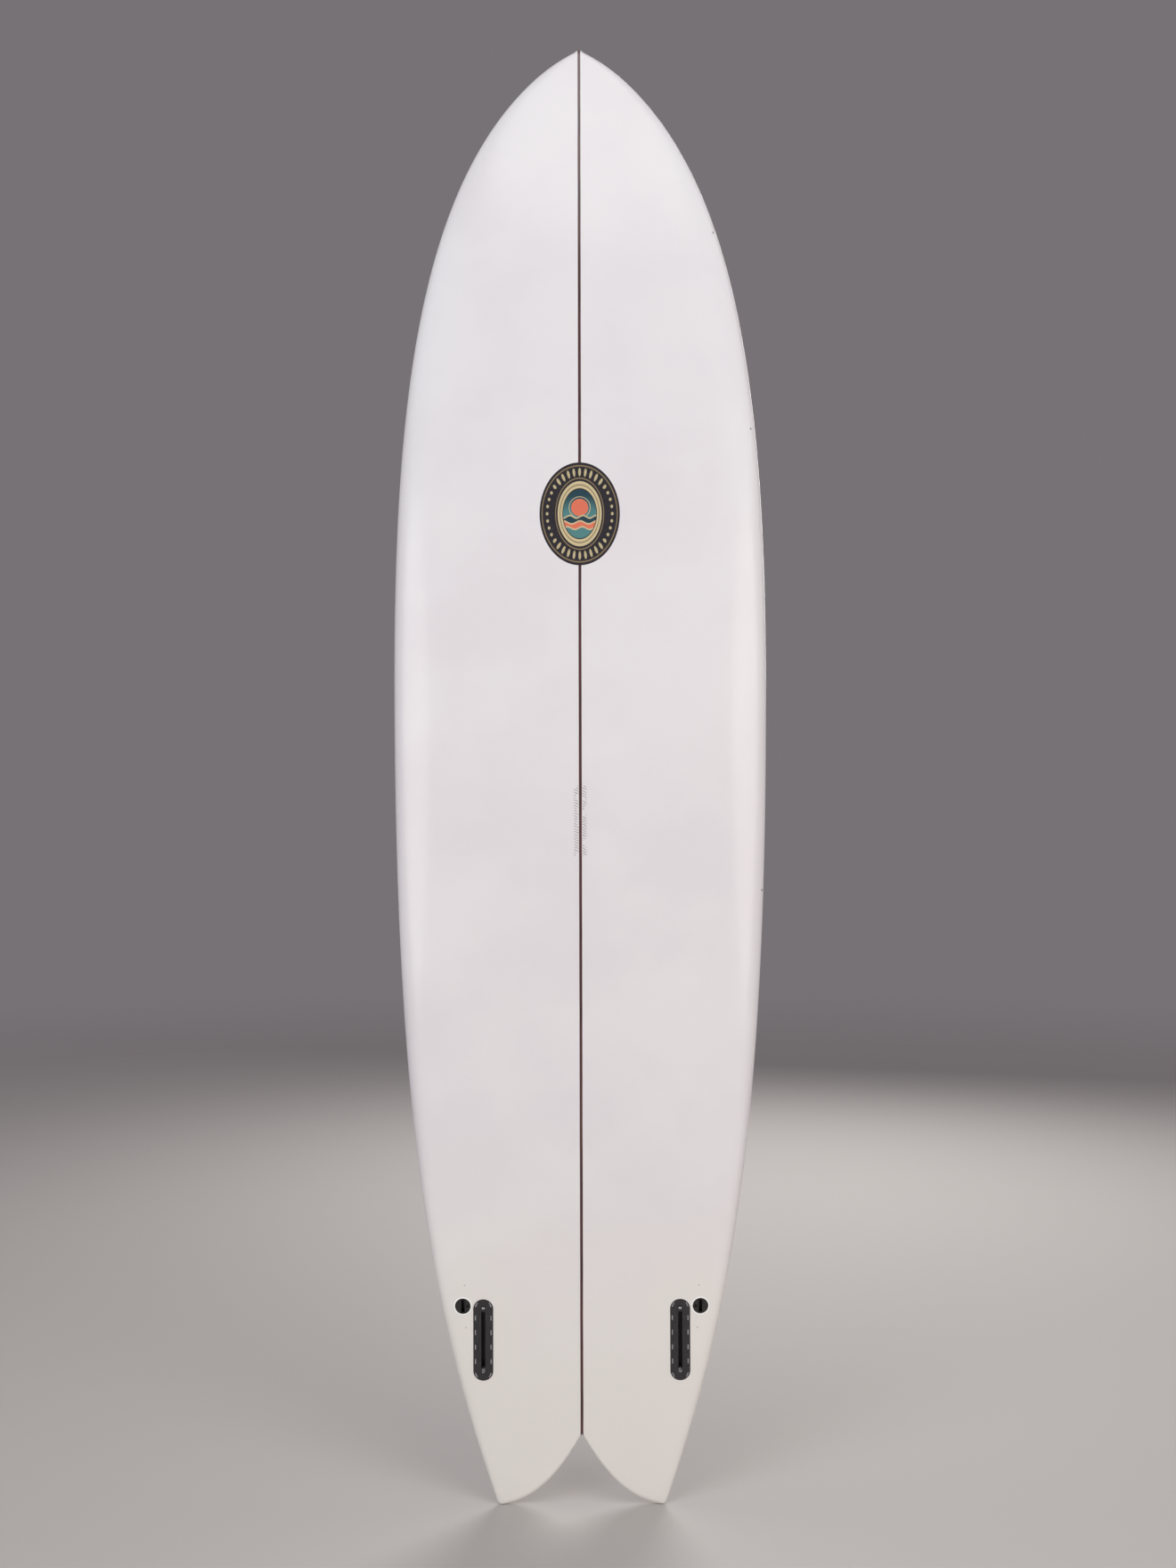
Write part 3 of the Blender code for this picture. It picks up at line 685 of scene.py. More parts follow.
plug_screw_mouth = Matrix.Translation((PLUG_SCREW_MOUTH, 0, FLANGE_TOP))
plug_screw_place = plug_screw_mouth @ Matrix.Rotation(PLUG_SCREW_LEAN, 4, "Y")


def make_plug():
    plug = capsule_block("fin_plug_puck_left", (PLUG_RADIUS, PLUG_RADIUS), PLUG_FOOT, FLANGE_TOP, sides=96)
    edit(plug)
    pick(plug, "faces", lambda f: f.normal.z > 0.9)
    bpy.ops.mesh.inset(thickness=PLUG_RIM)
    bpy.ops.mesh.extrude_region_move(TRANSFORM_OT_translate={"value": (0, 0, -PLUG_FACE_DROP)})
    finish_edit()
    x, y = PLUG_SLOT_HALF
    carve(plug, brick("slot", (-x, -y, PLUG_SLOT_FOOT), (x, y, REACH)))
    carve(plug, bore(PLUG_SCREW_RADIUS, PLUG_BORE_DEPTH, plug_screw_place))
    soften(plug, width=0.00012)
    shade(plug)
    return plug


def make_collar(name, outer, inner, foot, floor):
    """A ring of resin with a floor, cast round a fitting."""
    collar = capsule_block(name, (outer, outer), foot, FLANGE_TOP - SLIVER, sides=96)
    carve(collar, capsule_block("room", (inner, inner), floor, REACH, sides=96))
    soften(collar, width=0.0002)
    shade(collar)
    return collar


plug = make_plug()
collar = make_collar("plug_collar_left", COLLAR_RADIUS + GAP - SLIVER, PLUG_RADIUS + SLIVER, COLLAR_FOOT,
                     PLUG_FOOT - SLIVER)
plug_screw = make_screw("plug_grub_screw_left", PLUG_SCREW_RADIUS, PLUG_SCREW_LENGTH, PLUG_SCREW_PITCH)
plugs = {"left": plug, "right": copy_of(plug, "fin_plug_puck_right")}
collars = {"left": collar, "right": copy_of(collar, "plug_collar_right")}
plug_screws = {"left": plug_screw, "right": copy_of(plug_screw, "plug_grub_screw_right")}
for side in HANDS:
    turn = Matrix.Rotation(0 if side == "left" else math.pi, 4, "Z")
    place = plug_frames[side] @ turn
    moved(plugs[side], place)
    moved(collars[side], place)
    moved(plug_screws[side], place @ plug_screw_place)
print("plug faces:", len(plug.data.polygons))

# %% [markdown]
# ## The leash plug
#
# The leash that ties the surfer to the board is knotted round a steel pin across a little cup, sunk in the
# deck near the tail. The cup is a puck whose top face is inset and pushed down in steps, so that its floor
# comes out dished.

# %% Cup, pin and collar
CUP_RADIUS = 0.0145
CUP_WALL = 0.0030
CUP_FOOT = -0.0170
PIN_RADIUS = 0.00175
PIN_HALF = 0.0132
PIN_DEPTH = -0.0055
LEASH_COLLAR_FOOT = -0.0180
# Each step of the hollow is (drop, how much its face shrinks).
CUP_STEPS = ((-0.0107, 1.0), (-0.0017, 0.93), (-0.0012, 0.80), (-0.0006, 0.55))

pin_place = Matrix.Translation((0, 0, PIN_DEPTH)) @ Matrix.Rotation(math.pi / 2, 4, "Y")


def make_cup():
    cup = capsule_block("leash_cup", (CUP_RADIUS, CUP_RADIUS), CUP_FOOT, FLANGE_TOP, sides=96)
    edit(cup)
    pick(cup, "faces", lambda f: f.normal.z > 0.9)
    bpy.ops.mesh.inset(thickness=CUP_WALL)
    for drop, share in CUP_STEPS:
        bpy.ops.mesh.extrude_region_move(TRANSFORM_OT_translate={"value": (0, 0, drop)})
        bpy.ops.transform.resize(value=(share, share, 1))
    finish_edit()
    hole = PIN_RADIUS + SLIVER
    carve(cup, moved(capsule_block("pin_hole", (hole, hole), -PIN_HALF, PIN_HALF, sides=40), pin_place))
    soften(cup, width=0.0003)
    shade(cup, 30)
    return cup


def make_pin():
    reach = PIN_HALF - GAP
    pin = capsule_block("leash_cross_pin", (PIN_RADIUS, PIN_RADIUS), -reach, reach, sides=40)
    soften(pin, width=0.0003)
    shade(pin)
    return moved(pin, pin_place)


leash_cup = moved(make_cup(), leash_frame)
leash_pin = moved(make_pin(), leash_frame)
leash_collar = make_collar("leash_collar", LEASH_COLLAR_RADIUS + GAP - SLIVER, CUP_RADIUS + SLIVER,
                           LEASH_COLLAR_FOOT, CUP_FOOT - SLIVER)
moved(leash_collar, leash_frame)
print("leash cup faces:", len(leash_cup.data.polygons))

# %% [markdown]
# ## Finishes
#
# A material is a small network of nodes that ends in the Principled shader. `put` adds a node and wires
# it, `calc` is one sum, and `mix` fades one colour into another. Patterns read object coordinates, which
# here are the board's own metres, so a size in a pattern is a size on the board.
#
# Colours are given as a screen shows them, 0 to 255, and `tone` turns them into the linear light that
# shaders work in.

# %% Building blocks for materials
def tone(red, green, blue):
    def linear(c):
        c /= 255
        return c / 12.92 if c <= 0.04045 else ((c + 0.055) / 1.055) ** 2.4
    return (linear(red), linear(green), linear(blue), 1.0)


def put(mat, kind, values=None, **settings):
    """Adds a node. Each of its inputs takes a number, a colour or another node's output."""
    node = mat.node_tree.nodes.new(kind)
    for key, value in settings.items():
        setattr(node, key, value)
    for key, value in (values or {}).items():
        if isinstance(value, bpy.types.NodeSocket):
            mat.node_tree.links.new(value, node.inputs[key])
        else:
            node.inputs[key].default_value = value
    return node


def calc(mat, operation, *values):
    return put(mat, "ShaderNodeMath", dict(enumerate(values)), operation=operation).outputs[0]


def mix(mat, share, low, high):
    """Fades from the colour low to the colour high."""
    return put(mat, "ShaderNodeMix", {0: share, 6: low, 7: high}, data_type="RGBA").outputs[2]


def fade(mat, value, start, end, low=0.0, high=1.0):
    """A smooth step: low before start, high after end."""
    values = {"Value": value, "From Min": start, "From Max": end, "To Min": low, "To Max": high}
    return put(mat, "ShaderNodeMapRange", values, interpolation_type="SMOOTHSTEP").outputs[0]


def noise(mat, where, scale, detail=3.0):
    values = {"Vector": where, "Scale": scale, "Detail": detail}
    return put(mat, "ShaderNodeTexNoise", values).outputs["Fac"]


def stretched(mat, where, scale):
    return put(mat, "ShaderNodeMapping", {"Vector": where, "Scale": scale}).outputs["Vector"]


def new_finish(name, roughness, metallic=0.0, coat=0.0, coat_roughness=0.05):
    """A material with its plain values set. Returns it, its shader and its object coordinates."""
    mat = bpy.data.materials.new(name)
    mat.use_nodes = True
    shader = mat.node_tree.nodes["Principled BSDF"]
    shader.inputs["Roughness"].default_value = roughness
    shader.inputs["Metallic"].default_value = metallic
    shader.inputs["Coat Weight"].default_value = coat
    shader.inputs["Coat Roughness"].default_value = coat_roughness
    where = put(mat, "ShaderNodeTexCoord").outputs["Object"]
    return mat, shader, where


def wire(mat, socket, shader, name):
    mat.node_tree.links.new(socket, shader.inputs[name])


def bump(mat, shader, height, distance, strength=1.0):
    values = {"Height": height, "Distance": distance, "Strength": strength}
    wire(mat, put(mat, "ShaderNodeBump", values).outputs["Normal"], shader, "Normal")


# %% [markdown]
# ## Glass and resin over foam
#
# Cured laminate is nearly clear: we look through a gloss coat and the cloth to white foam. What we see is
# the foam's white, a little cloudy and faintly pink, the stringer as a dark line down the middle, and the
# thicker cloth round the fins a touch warmer. Towards the tail the bottom is painted warmer still, as
# painted warm light bounced up from the floor. Real transparency would take long to render and show the
# same, so the finish paints what lies under the resin and puts one glossy coat over it.

# %% What lies under the resin
WHITE_FOAM = tone(232, 228, 232)
CLOUDY_FOAM = tone(228, 223, 228)
WARM_CLOTH_AND_BOUNCE = tone(232, 228, 222)
STRINGER_DARK = tone(60, 27, 31)
STRINGER_PALE = tone(84, 44, 46)
STRINGER_HALF = 0.0020
LAMINATE_COAT = 0.55
LAMINATE_COAT_ROUGHNESS = 0.17
LAMINATE_SPECULAR = 0.15


def new_laminate(name, roughness=0.4):
    """All that lies under the glass has the same resin over it."""
    mat, shader, where = new_finish(name, roughness, 0.0, LAMINATE_COAT, LAMINATE_COAT_ROUGHNESS)
    shader.inputs["Specular IOR Level"].default_value = LAMINATE_SPECULAR
    return mat, shader, where


def along_and_across(mat, where):
    """X across the board and Z along it."""
    parts = put(mat, "ShaderNodeSeparateXYZ", {0: where})
    return parts.outputs["X"], parts.outputs["Z"]


def both_ways(mat, across, along):
    """The straight distance that a way across and a way along make."""
    squares = [calc(mat, "POWER", way, 2.0) for way in (across, along)]
    return calc(mat, "SQRT", calc(mat, "ADD", *squares))


def oval_reach(mat, x, z, middle, half):
    """Distance from an oval's middle, 1 on its edge."""
    across = calc(mat, "DIVIDE", calc(mat, "SUBTRACT", x, middle[0]), half[0])
    along = calc(mat, "DIVIDE", calc(mat, "SUBTRACT", z, middle[1]), half[1])
    return both_ways(mat, across, along)


def foam_colour(mat, where):
    clouds = fade(mat, noise(mat, where, 6.0, 4.0), 0.35, 0.68)
    return mix(mat, clouds, WHITE_FOAM, CLOUDY_FOAM)


def stringer_line(mat, where, x, z, below):
    """The strip of wood as a dark line, its edges softened by the resin and its grain a little uneven."""
    grain = noise(mat, stretched(mat, where, (1.0, 1.0, 0.25)), 60.0, 4.0)
    wander = calc(mat, "MULTIPLY", calc(mat, "SUBTRACT", grain, 0.5), 0.0006)
    distance = calc(mat, "ABSOLUTE", calc(mat, "ADD", x, wander))
    wood = mix(mat, fade(mat, grain, 0.35, 0.65), STRINGER_DARK, STRINGER_PALE)
    inside = fade(mat, distance, STRINGER_HALF - 0.0003, STRINGER_HALF + 0.0004, 1.0, 0.0)
    strength = calc(mat, "MULTIPLY", inside, fade(mat, z, 1.75, 2.13, 0.98, 0.90))
    return mix(mat, strength, below, wood)


def laminate_gloss(mat, shader, where):
    """Hand-polished resin: faintly wavy, with fine sanding haze."""
    haze = fade(mat, noise(mat, where, 14.0, 6.0), 0.3, 0.7, 0.38, 0.50)
    wire(mat, haze, shader, "Roughness")
    waves = noise(mat, where, 9.0, 2.0)
    bump(mat, shader, waves, 0.002, 0.10)


# %% [markdown]
# ## The bottom's marks
#
# A shaper measures with a pencil, and the marks stay under the glass. Here they are short plain strokes on
# each side of the stringer, unevenly spaced and faint, with nothing to read in them. A dot marks each end
# of the plug's place, and a few specks of dust lie near the rails.

# %% Pencil strokes beside the stringer
PENCIL = tone(100, 96, 98)
TICK_ZONE = (0.940, 1.040)
TICK_PITCH = 0.0037
TICK_REACH = (0.0028, 0.0105)
TICK_SLANT = 0.45
TICK_STRENGTH = 0.70


def pencil_ticks(mat, where, x, z):
    shake = noise(mat, where, 150.0, 1.0)
    slant = calc(mat, "MULTIPLY", x, TICK_SLANT / TICK_PITCH)
    row = calc(mat, "ADD", calc(mat, "DIVIDE", z, TICK_PITCH), slant)
    row = calc(mat, "ADD", row, calc(mat, "MULTIPLY", shake, 0.9))
    stroke = fade(mat, calc(mat, "PINGPONG", row, 0.5), 0.10, 0.19, 1.0, 0.0)
    distance = calc(mat, "ABSOLUTE", x)
    near = fade(mat, distance, TICK_REACH[0] - 0.0004, TICK_REACH[0] + 0.0006)
    far = fade(mat, distance, TICK_REACH[1] - 0.0035, TICK_REACH[1], 1.0, 0.0)
    start = fade(mat, z, TICK_ZONE[0] - 0.001, TICK_ZONE[0] + 0.001)
    end = fade(mat, z, TICK_ZONE[1] - 0.001, TICK_ZONE[1] + 0.001, 1.0, 0.0)
    gaps = fade(mat, noise(mat, where, 70.0, 1.0), 0.36, 0.46)
    for part in (near, far, start, end, gaps):
        stroke = calc(mat, "MULTIPLY", stroke, part)
    return calc(mat, "MULTIPLY", stroke, TICK_STRENGTH)


# %% The bottom's finish
# Patches, dots and specks are (distance from the centre line, height).
PATCH_MIDDLE = (0.150, 0.262)
PATCH_HALF = (0.064, 0.125)
PENCIL_DOTS = ((0.1676, 0.3255), (0.1659, 0.2638))
DOT_HALF = (0.0010, 0.0010)
RAIL_SPECKS = ((0.1952, 1.8455), (0.2462, 1.5526), (0.2590, 0.8902))
SPECK_HALF = (0.0014, 0.0022)


def bottom_finish():
    mat, shader, where = new_laminate("bottom_laminate")
    x, z = along_and_across(mat, where)
    side_x = calc(mat, "ABSOLUTE", x)
    # Towards the tail the colour is painted warmer: painted warm light bounced up from the floor. The oval
    # patch round the fins is the warmer cloth there.
    colour = mix(mat, fade(mat, z, 0.10, 0.60, 0.7, 0.0), foam_colour(mat, where), WARM_CLOTH_AND_BOUNCE)
    patch = fade(mat, oval_reach(mat, side_x, z, PATCH_MIDDLE, PATCH_HALF), 0.70, 1.15, 0.35, 0.0)
    colour = mix(mat, patch, colour, WARM_CLOTH_AND_BOUNCE)
    colour = stringer_line(mat, where, x, z, colour)
    for middle in PENCIL_DOTS:
        dot = fade(mat, oval_reach(mat, side_x, z, middle, DOT_HALF), 0.5, 1.2, 0.65, 0.0)
        colour = mix(mat, dot, colour, PENCIL)
    for middle in RAIL_SPECKS:
        speck = fade(mat, oval_reach(mat, x, z, middle, SPECK_HALF), 0.4, 1.1, 0.8, 0.0)
        colour = mix(mat, speck, colour, PENCIL)
    ticks = pencil_ticks(mat, where, x, z)
    wire(mat, mix(mat, ticks, colour, PENCIL), shader, "Base Color")
    laminate_gloss(mat, shader, where)
    return mat


bottom_skin.data.materials.append(bottom_finish())
print("bottom finish nodes:", len(bottom_skin.data.materials[0].node_tree.nodes))

# %% [markdown]
# The deck has the same foam under it, seen through more cloth, which greys it a little. The stringer shows
# there too.

# %% The deck's finish
DECK_TINT = tone(222, 219, 217)


def deck_finish():
    mat, shader, where = new_laminate("deck_laminate")
    x, z = along_and_across(mat, where)
    colour = mix(mat, 0.5, foam_colour(mat, where), DECK_TINT)
    wire(mat, stringer_line(mat, where, x, z, colour), shader, "Base Color")
    laminate_gloss(mat, shader, where)
    return mat


deck_skin.data.materials.append(deck_finish())
print("deck finish nodes:", len(deck_skin.data.materials[0].node_tree.nodes))

# %% [markdown]
# ## The oval's artwork
#
# The oval carries a plain picture: a sun over waves in a thick cream ring, on a charcoal ground. A ring of
# marks runs round the border, dots at the sides that stretch to petals at the top and the bottom. It is
# drawn by measuring, not by an image. Each shape is a distance from a middle, a wave is a sine of the
# place across, and each fades into the next over a hair's width.

# %% A sun over waves
CHARCOAL = tone(41, 38, 45)
WORN_CHARCOAL = tone(66, 62, 66)
CREAM = tone(205, 189, 150)
DULL_GOLD = tone(138, 120, 92)
CORAL = tone(222, 118, 92)
TEAL = tone(84, 132, 134)
DEEP_TEAL = tone(38, 66, 78)
DOTS_ROUND = 36
DOT_RING = 0.81
DOT_RADIUS = 0.026
PETAL_SQUEEZE = 0.40
FRAME = (0.56, 0.645)
SUN_MIDDLE = (0.0, 0.12)
SUN_HALF = (0.215, 0.17)
# Each row of waves is (height, swell, how close its crests are, where it starts, its colour).
WAVES = (
    (-0.04, 0.026, 19.0, 0.0, DEEP_TEAL),
    (-0.15, 0.028, 15.0, 1.4, CORAL),
    (-0.26, 0.026, 17.0, 0.5, TEAL),
)
HAIR = 0.012


def ring_of_dots(mat, across, along, reach):
    """Dots round the border. Near the top and the bottom a squeezed height makes petals of them."""
    angle = calc(mat, "ARCTAN2", along, across)
    turn = calc(mat, "MULTIPLY", angle, DOTS_ROUND / math.tau)
    beside = calc(mat, "MULTIPLY", calc(mat, "PINGPONG", turn, 0.5), DOT_RING * math.tau / DOTS_ROUND)
    above = calc(mat, "SUBTRACT", reach, DOT_RING)
    upright = calc(mat, "ABSOLUTE", calc(mat, "DIVIDE", along, reach))
    above = calc(mat, "MULTIPLY", above, fade(mat, upright, 0.45, 0.80, 1.0, PETAL_SQUEEZE))
    distance = both_ways(mat, beside, above)
    return fade(mat, distance, DOT_RADIUS, DOT_RADIUS + HAIR, 0.85, 0.0)


def band(mat, value, middle, half):
    """1 on a line of that half width, 0 away from it."""
    away = calc(mat, "ABSOLUTE", calc(mat, "SUBTRACT", value, middle))
    return fade(mat, away, half, half + HAIR, 1.0, 0.0)


def picture(mat, across, along):
    """The scene inside the frame: sky, sun and three rows of waves."""
    sky = mix(mat, fade(mat, along, -0.05, 0.40), TEAL, DEEP_TEAL)
    sun_reach = oval_reach(mat, across, along, SUN_MIDDLE, SUN_HALF)
    colour = mix(mat, fade(mat, sun_reach, 0.96, 1.02, 1.0, 0.0), sky, CORAL)
    colour = mix(mat, band(mat, sun_reach, 1.22, 0.03), colour, CREAM)
    for height, swell, count, start, wave_tone in WAVES:
        swing = calc(mat, "SINE", calc(mat, "ADD", calc(mat, "MULTIPLY", across, count), start))
        crest = calc(mat, "ADD", calc(mat, "MULTIPLY", swing, swell), height)
        below = calc(mat, "SUBTRACT", crest, along)
        colour = mix(mat, fade(mat, below, 0.0, HAIR), colour, wave_tone)
        colour = mix(mat, band(mat, below, 0.020, 0.008), colour, CREAM)
    return colour


def oval_finish():
    mat, shader, where = new_laminate("maker_oval_print", 0.45)
    x, z = along_and_across(mat, where)
    across = calc(mat, "DIVIDE", x, OVAL_HALF[0])
    along = calc(mat, "DIVIDE", calc(mat, "SUBTRACT", z, OVAL_HEIGHT), OVAL_HALF[1])
    reach = oval_reach(mat, across, along, (0.0, 0.0), (1.0, 1.0))
    inner = oval_reach(mat, across, along, (0.0, 0.0), FRAME)
    wear = fade(mat, noise(mat, where, 420.0, 3.0), 0.4, 0.7, 0.0, 0.35)
    ground = mix(mat, wear, CHARCOAL, WORN_CHARCOAL)
    colour = mix(mat, ring_of_dots(mat, across, along, reach), ground, CREAM)
    colour = mix(mat, band(mat, reach, 0.935, 0.006), colour, DULL_GOLD)
    colour = mix(mat, band(mat, inner, 1.07, 0.012), colour, DULL_GOLD)
    colour = mix(mat, fade(mat, inner, 0.97, 0.99, 1.0, 0.0), colour, CREAM)
    colour = mix(mat, band(mat, inner, 0.87, 0.012), colour, DULL_GOLD)
    colour = mix(mat, fade(mat, inner, 0.76, 0.78, 1.0, 0.0), colour, CHARCOAL)
    colour = mix(mat, fade(mat, inner, 0.73, 0.75, 1.0, 0.0), colour, picture(mat, across, along))
    wire(mat, colour, shader, "Base Color")
    return mat


oval.data.materials.append(oval_finish())
print("oval finish nodes:", len(oval.data.materials[0].node_tree.nodes))

# %% [markdown]
# ## Nylon, resin and steel
#
# The boxes are nylon filled with glass fibre, so under the sander they turn a soft charcoal with pale
# flecks and fine straight scratches. A broken pale patch is painted on the ramp behind each slot. The resin
# round the boxes is glossy and slightly milky, and white round the plugs. The screws of the boxes and the
# leash pin are stainless steel, and the screws of the plugs are blackened.

# %% Fin box nylon
LEDGE_HALF = (0.0026, 0.0036)
FLECK = tone(118, 114, 116)
LEDGE_PALE = tone(150, 147, 149)

ledge_place = box_frames["right"] @ Vector((0, RAMP_END + 0.0034, 0))


def nylon_finish(name, dark, pale, pale_ledge=False):
    mat, shader, where = new_finish(name, 0.5)
    flecks = fade(mat, noise(mat, where, 1400.0, 2.0), 0.58, 0.72)
    sanded = noise(mat, stretched(mat, where, (1.0, 1.0, 0.06)), 900.0, 2.0)
    colour = mix(mat, fade(mat, sanded, 0.35, 0.7, 0.0, 0.5), dark, pale)
    # A broken pale patch is painted on the ramp behind the slot, on both boxes.
    if pale_ledge:
        x, z = along_and_across(mat, where)
        side_x = calc(mat, "ABSOLUTE", x)
        ledge = oval_reach(mat, side_x, z, (ledge_place.x, ledge_place.z), LEDGE_HALF)
        ledge_breaks = fade(mat, noise(mat, where, 620.0, 3.0), 0.42, 0.58)
        pale_ledge_mask = calc(mat, "MULTIPLY", fade(mat, ledge, 0.8, 1.1, 1.0, 0.0), ledge_breaks)
        colour = mix(mat, pale_ledge_mask, colour, LEDGE_PALE)
    colour = mix(mat, calc(mat, "MULTIPLY", flecks, 0.35), colour, FLECK)
    wire(mat, colour, shader, "Base Color")
    wire(mat, fade(mat, sanded, 0.3, 0.7, 0.38, 0.58), shader, "Roughness")
    bump(mat, shader, sanded, 0.00003, 0.5)
    return mat


box_nylon = nylon_finish("box_nylon", tone(36, 33, 37), tone(55, 51, 55), pale_ledge=True)
plug_nylon = nylon_finish("plug_nylon", tone(26, 24, 25), tone(42, 38, 39))
cup_nylon = nylon_finish("cup_nylon", tone(34, 34, 37), tone(50, 50, 54))
print("box nylon nodes:", len(box_nylon.node_tree.nodes))


# %% Resins and steel
def resin_finish(name, clear, milky):
    mat, shader, where = new_finish(name, 0.3, coat=1.0, coat_roughness=0.08)
    clouds = fade(mat, noise(mat, where, 260.0, 3.0), 0.3, 0.7)
    wire(mat, mix(mat, clouds, clear, milky), shader, "Base Color")
    bump(mat, shader, noise(mat, where, 500.0, 2.0), 0.00004, 0.4)
    return mat


def steel_finish(name, bright, dull):
    mat, shader, where = new_finish(name, 0.3, metallic=1.0)
    tool_marks = noise(mat, where, 3200.0, 2.0)
    wire(mat, mix(mat, fade(mat, tool_marks, 0.3, 0.7), bright, dull), shader, "Base Color")
    wire(mat, fade(mat, tool_marks, 0.3, 0.7, 0.22, 0.40), shader, "Roughness")
    return mat


box_resin = resin_finish("box_resin", tone(138, 136, 140), tone(166, 164, 168))
white_resin = resin_finish("white_resin", tone(249, 249, 247), tone(254, 254, 253))
screw_steel = steel_finish("screw_steel", tone(222, 222, 224), tone(188, 188, 191))
blackened_steel = steel_finish("blackened_steel", tone(104, 84, 82), tone(72, 60, 60))
print("resins and steels:", [mat.name for mat in (box_resin, white_resin, screw_steel, blackened_steel)])

# %% [markdown]
# ## What is inside
#
# The foam halves and the stringer keep their working shapes, because the skin hides them. They still get
# their own look, for anyone who opens the board: foam sawn to a fine open grain, and a strip of dark wood
# whose grain runs the length of the board.

# %% Foam and wood
FOAM_TONES = (tone(238, 234, 222), tone(228, 223, 208))
WOOD_TONES = (tone(60, 36, 34), tone(104, 68, 56))


def foam_finish():
    mat, shader, where = new_finish("blank_foam", 0.9)
    wire(mat, mix(mat, noise(mat, where, 30.0, 4.0), *FOAM_TONES), shader, "Base Color")
    cells = put(mat, "ShaderNodeTexVoronoi", {"Vector": where, "Scale": 1300.0}).outputs["Distance"]
    bump(mat, shader, cells, 0.0002, 0.5)
    return mat


def wood_finish():
    mat, shader, where = new_finish("stringer_wood", 0.6)
    grain = noise(mat, stretched(mat, where, (60.0, 60.0, 2.5)), 9.0, 6.0)
    wire(mat, mix(mat, fade(mat, grain, 0.35, 0.65), *WOOD_TONES), shader, "Base Color")
    bump(mat, shader, grain, 0.0002, 0.4)
    return mat


def carry_over(node, mat):
    """Gives a node of the working model a finish, in the material slot it has."""
    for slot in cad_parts[node].material_slots:
        slot.material = mat
    print(node, "keeps its shape and takes", mat.name)


blank_foam = foam_finish()
for side in HANDS:
    carry_over("foam_half_" + side, blank_foam)
carry_over("stringer", wood_finish())

# %% [markdown]
# ## Joining the pieces to the working model
#
# Each piece is hung on the body it moves with, and the node of the working model that it stands for is
# hidden. The fittings take their finishes here. The screws travel in their bores, so each rides a body of
# its own. All else rides the board.

# %% Riding, replacing and finishing
def join_up(piece, body, node, mat=None):
    if mat:
        piece.data.materials.clear()
        piece.data.materials.append(mat)
    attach(piece, body)
    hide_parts(node)


join_up(bottom_skin, "board", "bottom_glass")
join_up(deck_skin, "board", "deck_glass")
join_up(oval, "board", "logo_laminate")
for side, box, bed in (("left", fin_box_left, bed_left), ("right", fin_box_right, bed_right)):
    join_up(box, "board", "fin_box_" + side, box_nylon)
    join_up(bed, "board", "fin_box_resin_bed_" + side, box_resin)
    join_up(box_screws[side], "fin_box_screw_" + side, "fin_box_screw_" + side, screw_steel)
    join_up(plugs[side], "board", "fin_plug_" + side, plug_nylon)
    join_up(collars[side], "board", "plug_resin_collar_" + side, white_resin)
    join_up(plug_screws[side], "plug_screw_" + side, "plug_screw_" + side, blackened_steel)
join_up(leash_cup, "board", "leash_plug_cup", cup_nylon)
join_up(leash_pin, "board", "leash_pin", screw_steel)
join_up(leash_collar, "board", "leash_resin_collar", white_resin)
print("nodes of the working model:", len(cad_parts))

# %% [markdown]
# ## Floor, light and camera
#
# The board stands on a plain pale floor that fades into the studio's grey, so there is no horizon line.
# The lights are large discs, because a small light would show as a hard streak in the gloss. Three hang
# high in front: a warm one in the middle, and cooler ones to the right and the left. Together they light
# the nose nearly white. Two stand low at the sides and give the lower half its even, warmer light. One
# behind lights the deck.

# %% A floor that fades away
FLOOR_RADIUS = 7.0
FLOOR_TONE = tone(190, 185, 182)

bpy.ops.mesh.primitive_circle_add(vertices=96, radius=FLOOR_RADIUS, fill_type="NGON")
floor = named("floor")
floor_mat, floor_shader, floor_where = new_finish("pale_floor", 0.75)
floor_x, floor_y = put(floor_mat, "ShaderNodeSeparateXYZ", {0: floor_where}).outputs[0:2]
floor_reach = oval_reach(floor_mat, floor_x, floor_y, (0.0, 0.0), (FLOOR_RADIUS, FLOOR_RADIUS))
wire(floor_mat, fade(floor_mat, floor_reach, 0.25, 0.98, 1.0, 0.0), floor_shader, "Alpha")
floor_shader.inputs["Base Color"].default_value = FLOOR_TONE
floor.data.materials.append(floor_mat)
print("floor:", [round(d, 2) for d in floor.dimensions], "m")

# %% Soft light
STUDIO_GREY = tone(119, 114, 117)

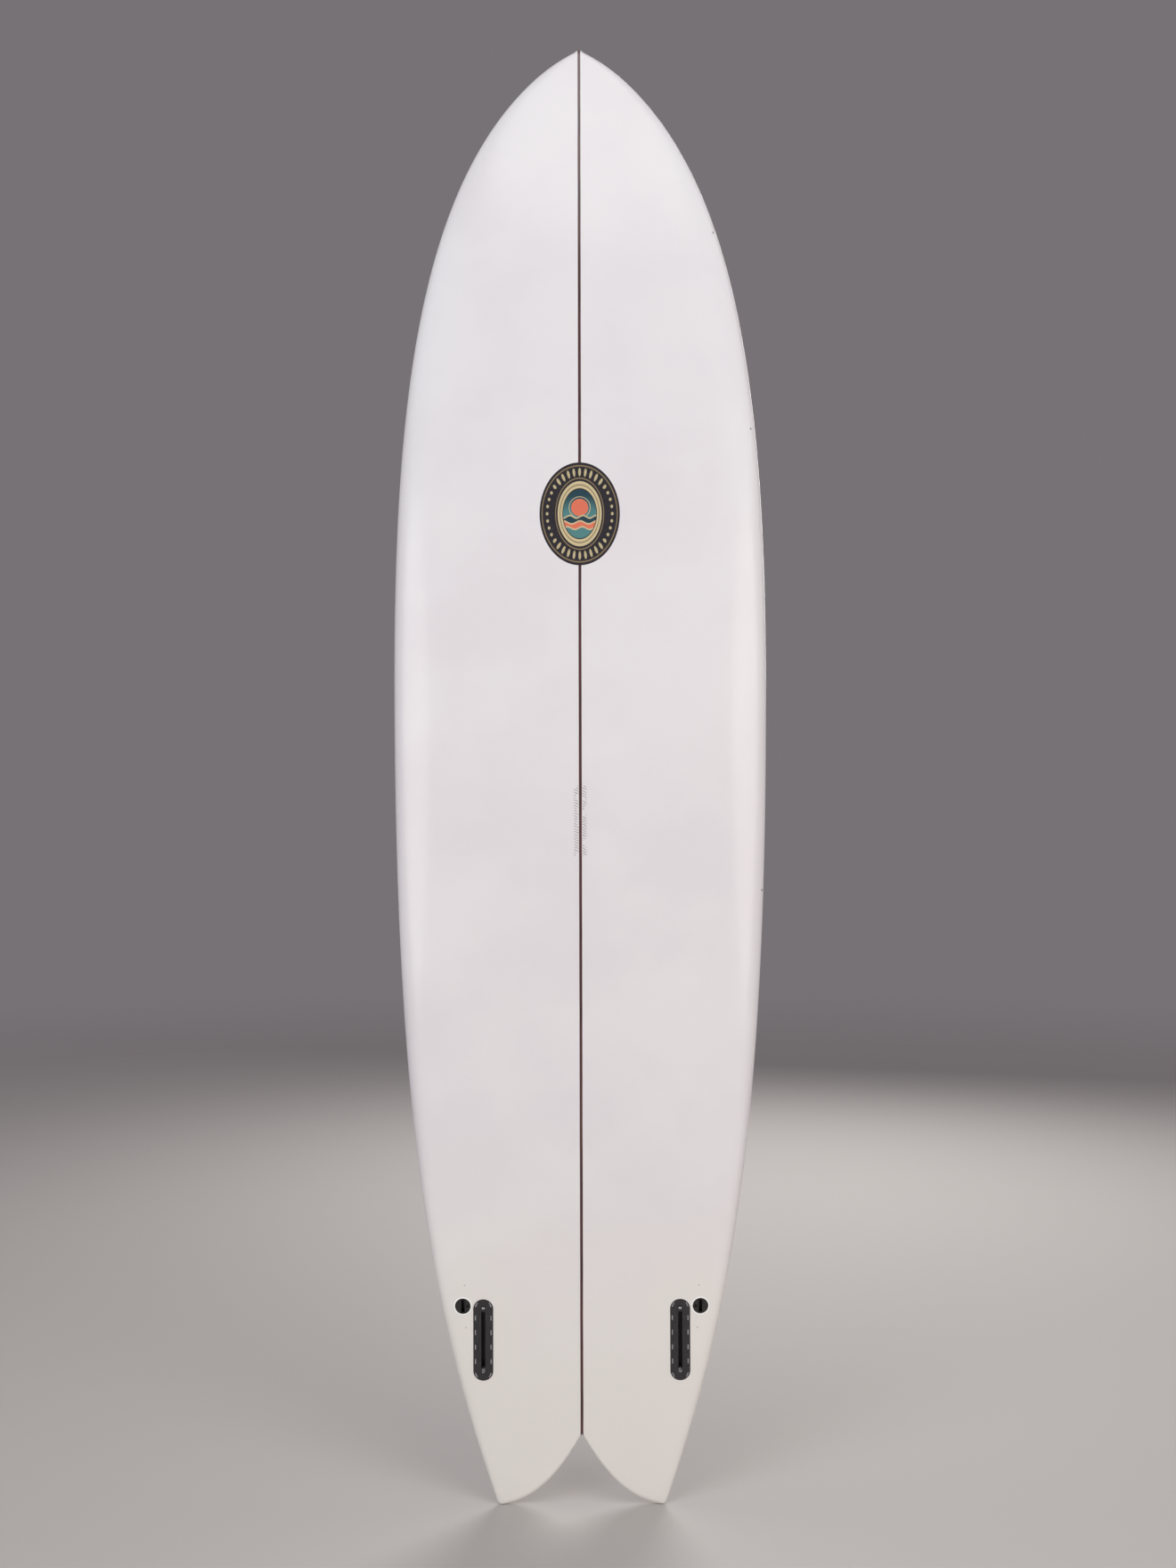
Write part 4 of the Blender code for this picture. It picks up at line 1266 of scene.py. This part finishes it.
scene = bpy.context.scene
scene.view_settings.view_transform = "Standard"
scene.world = bpy.data.worlds.new("studio")
scene.world.use_nodes = True
scene.world.node_tree.nodes["Background"].inputs["Color"].default_value = STUDIO_GREY
scene.world.node_tree.nodes["Background"].inputs["Strength"].default_value = 1.0


def soft_light(name, place, aim, size, power, colour):
    """A round lamp of that size in metres and that power in watts, turned to face its aim."""
    data = bpy.data.lights.new(name, "AREA")
    data.shape = "DISK"
    data.size = size
    data.energy = power
    data.color = colour
    light = bpy.data.objects.new(name, data)
    scene.collection.objects.link(light)
    light.location = place
    light.rotation_euler = (Vector(aim) - Vector(place)).to_track_quat("-Z", "Y").to_euler()
    light.visible_camera = False
    print(name, "light:", power, "W")


soft_light("top", (0.1, -1.7, 4.2), (0.0, 0.0, 1.9), 2.0, 25, (1.0, 0.96, 0.91))
soft_light("top_right", (1.9, -1.9, 3.3), (0.0, 0.0, 1.8), 2.6, 18, (0.84, 1.0, 1.0))
soft_light("top_left", (-2.2, -2.6, 3.2), (0.0, 0.0, 1.6), 2.6, 16, (0.40, 0.76, 1.0))
soft_light("low_left", (-2.1, -2.8, 1.25), (0.0, 0.0, 0.1), 2.3, 43, (1.0, 0.97, 0.92))
soft_light("low_right", (2.1, -2.8, 1.25), (0.0, 0.0, 0.1), 2.3, 43, (1.0, 0.93, 0.86))
soft_light("back", (0.8, 3.0, 2.4), (0.0, 0.0, 1.1), 2.4, 80, (1.0, 0.99, 0.98))

# %% [markdown]
# The camera looks level at the board's middle height from 2.6 m away. It stands a centimetre to the right
# of the centre line and is rolled by a hair, as one held by hand is.

# %% Camera
CAMERA_PLACE = (0.0109, -2.628, 1.0423)
CAMERA_ROLL = math.radians(0.14)
CAMERA_LENS = 41.45
SENSOR_WIDTH = 36

camera_data = bpy.data.cameras.new("camera")
camera_data.lens = CAMERA_LENS
camera_data.sensor_width = SENSOR_WIDTH
camera = bpy.data.objects.new("camera", camera_data)
camera.location = CAMERA_PLACE
camera.rotation_euler = (math.pi / 2, CAMERA_ROLL, 0)
scene.collection.objects.link(camera)
scene.camera = camera
print("camera:", CAMERA_PLACE, "lens", CAMERA_LENS, "mm")
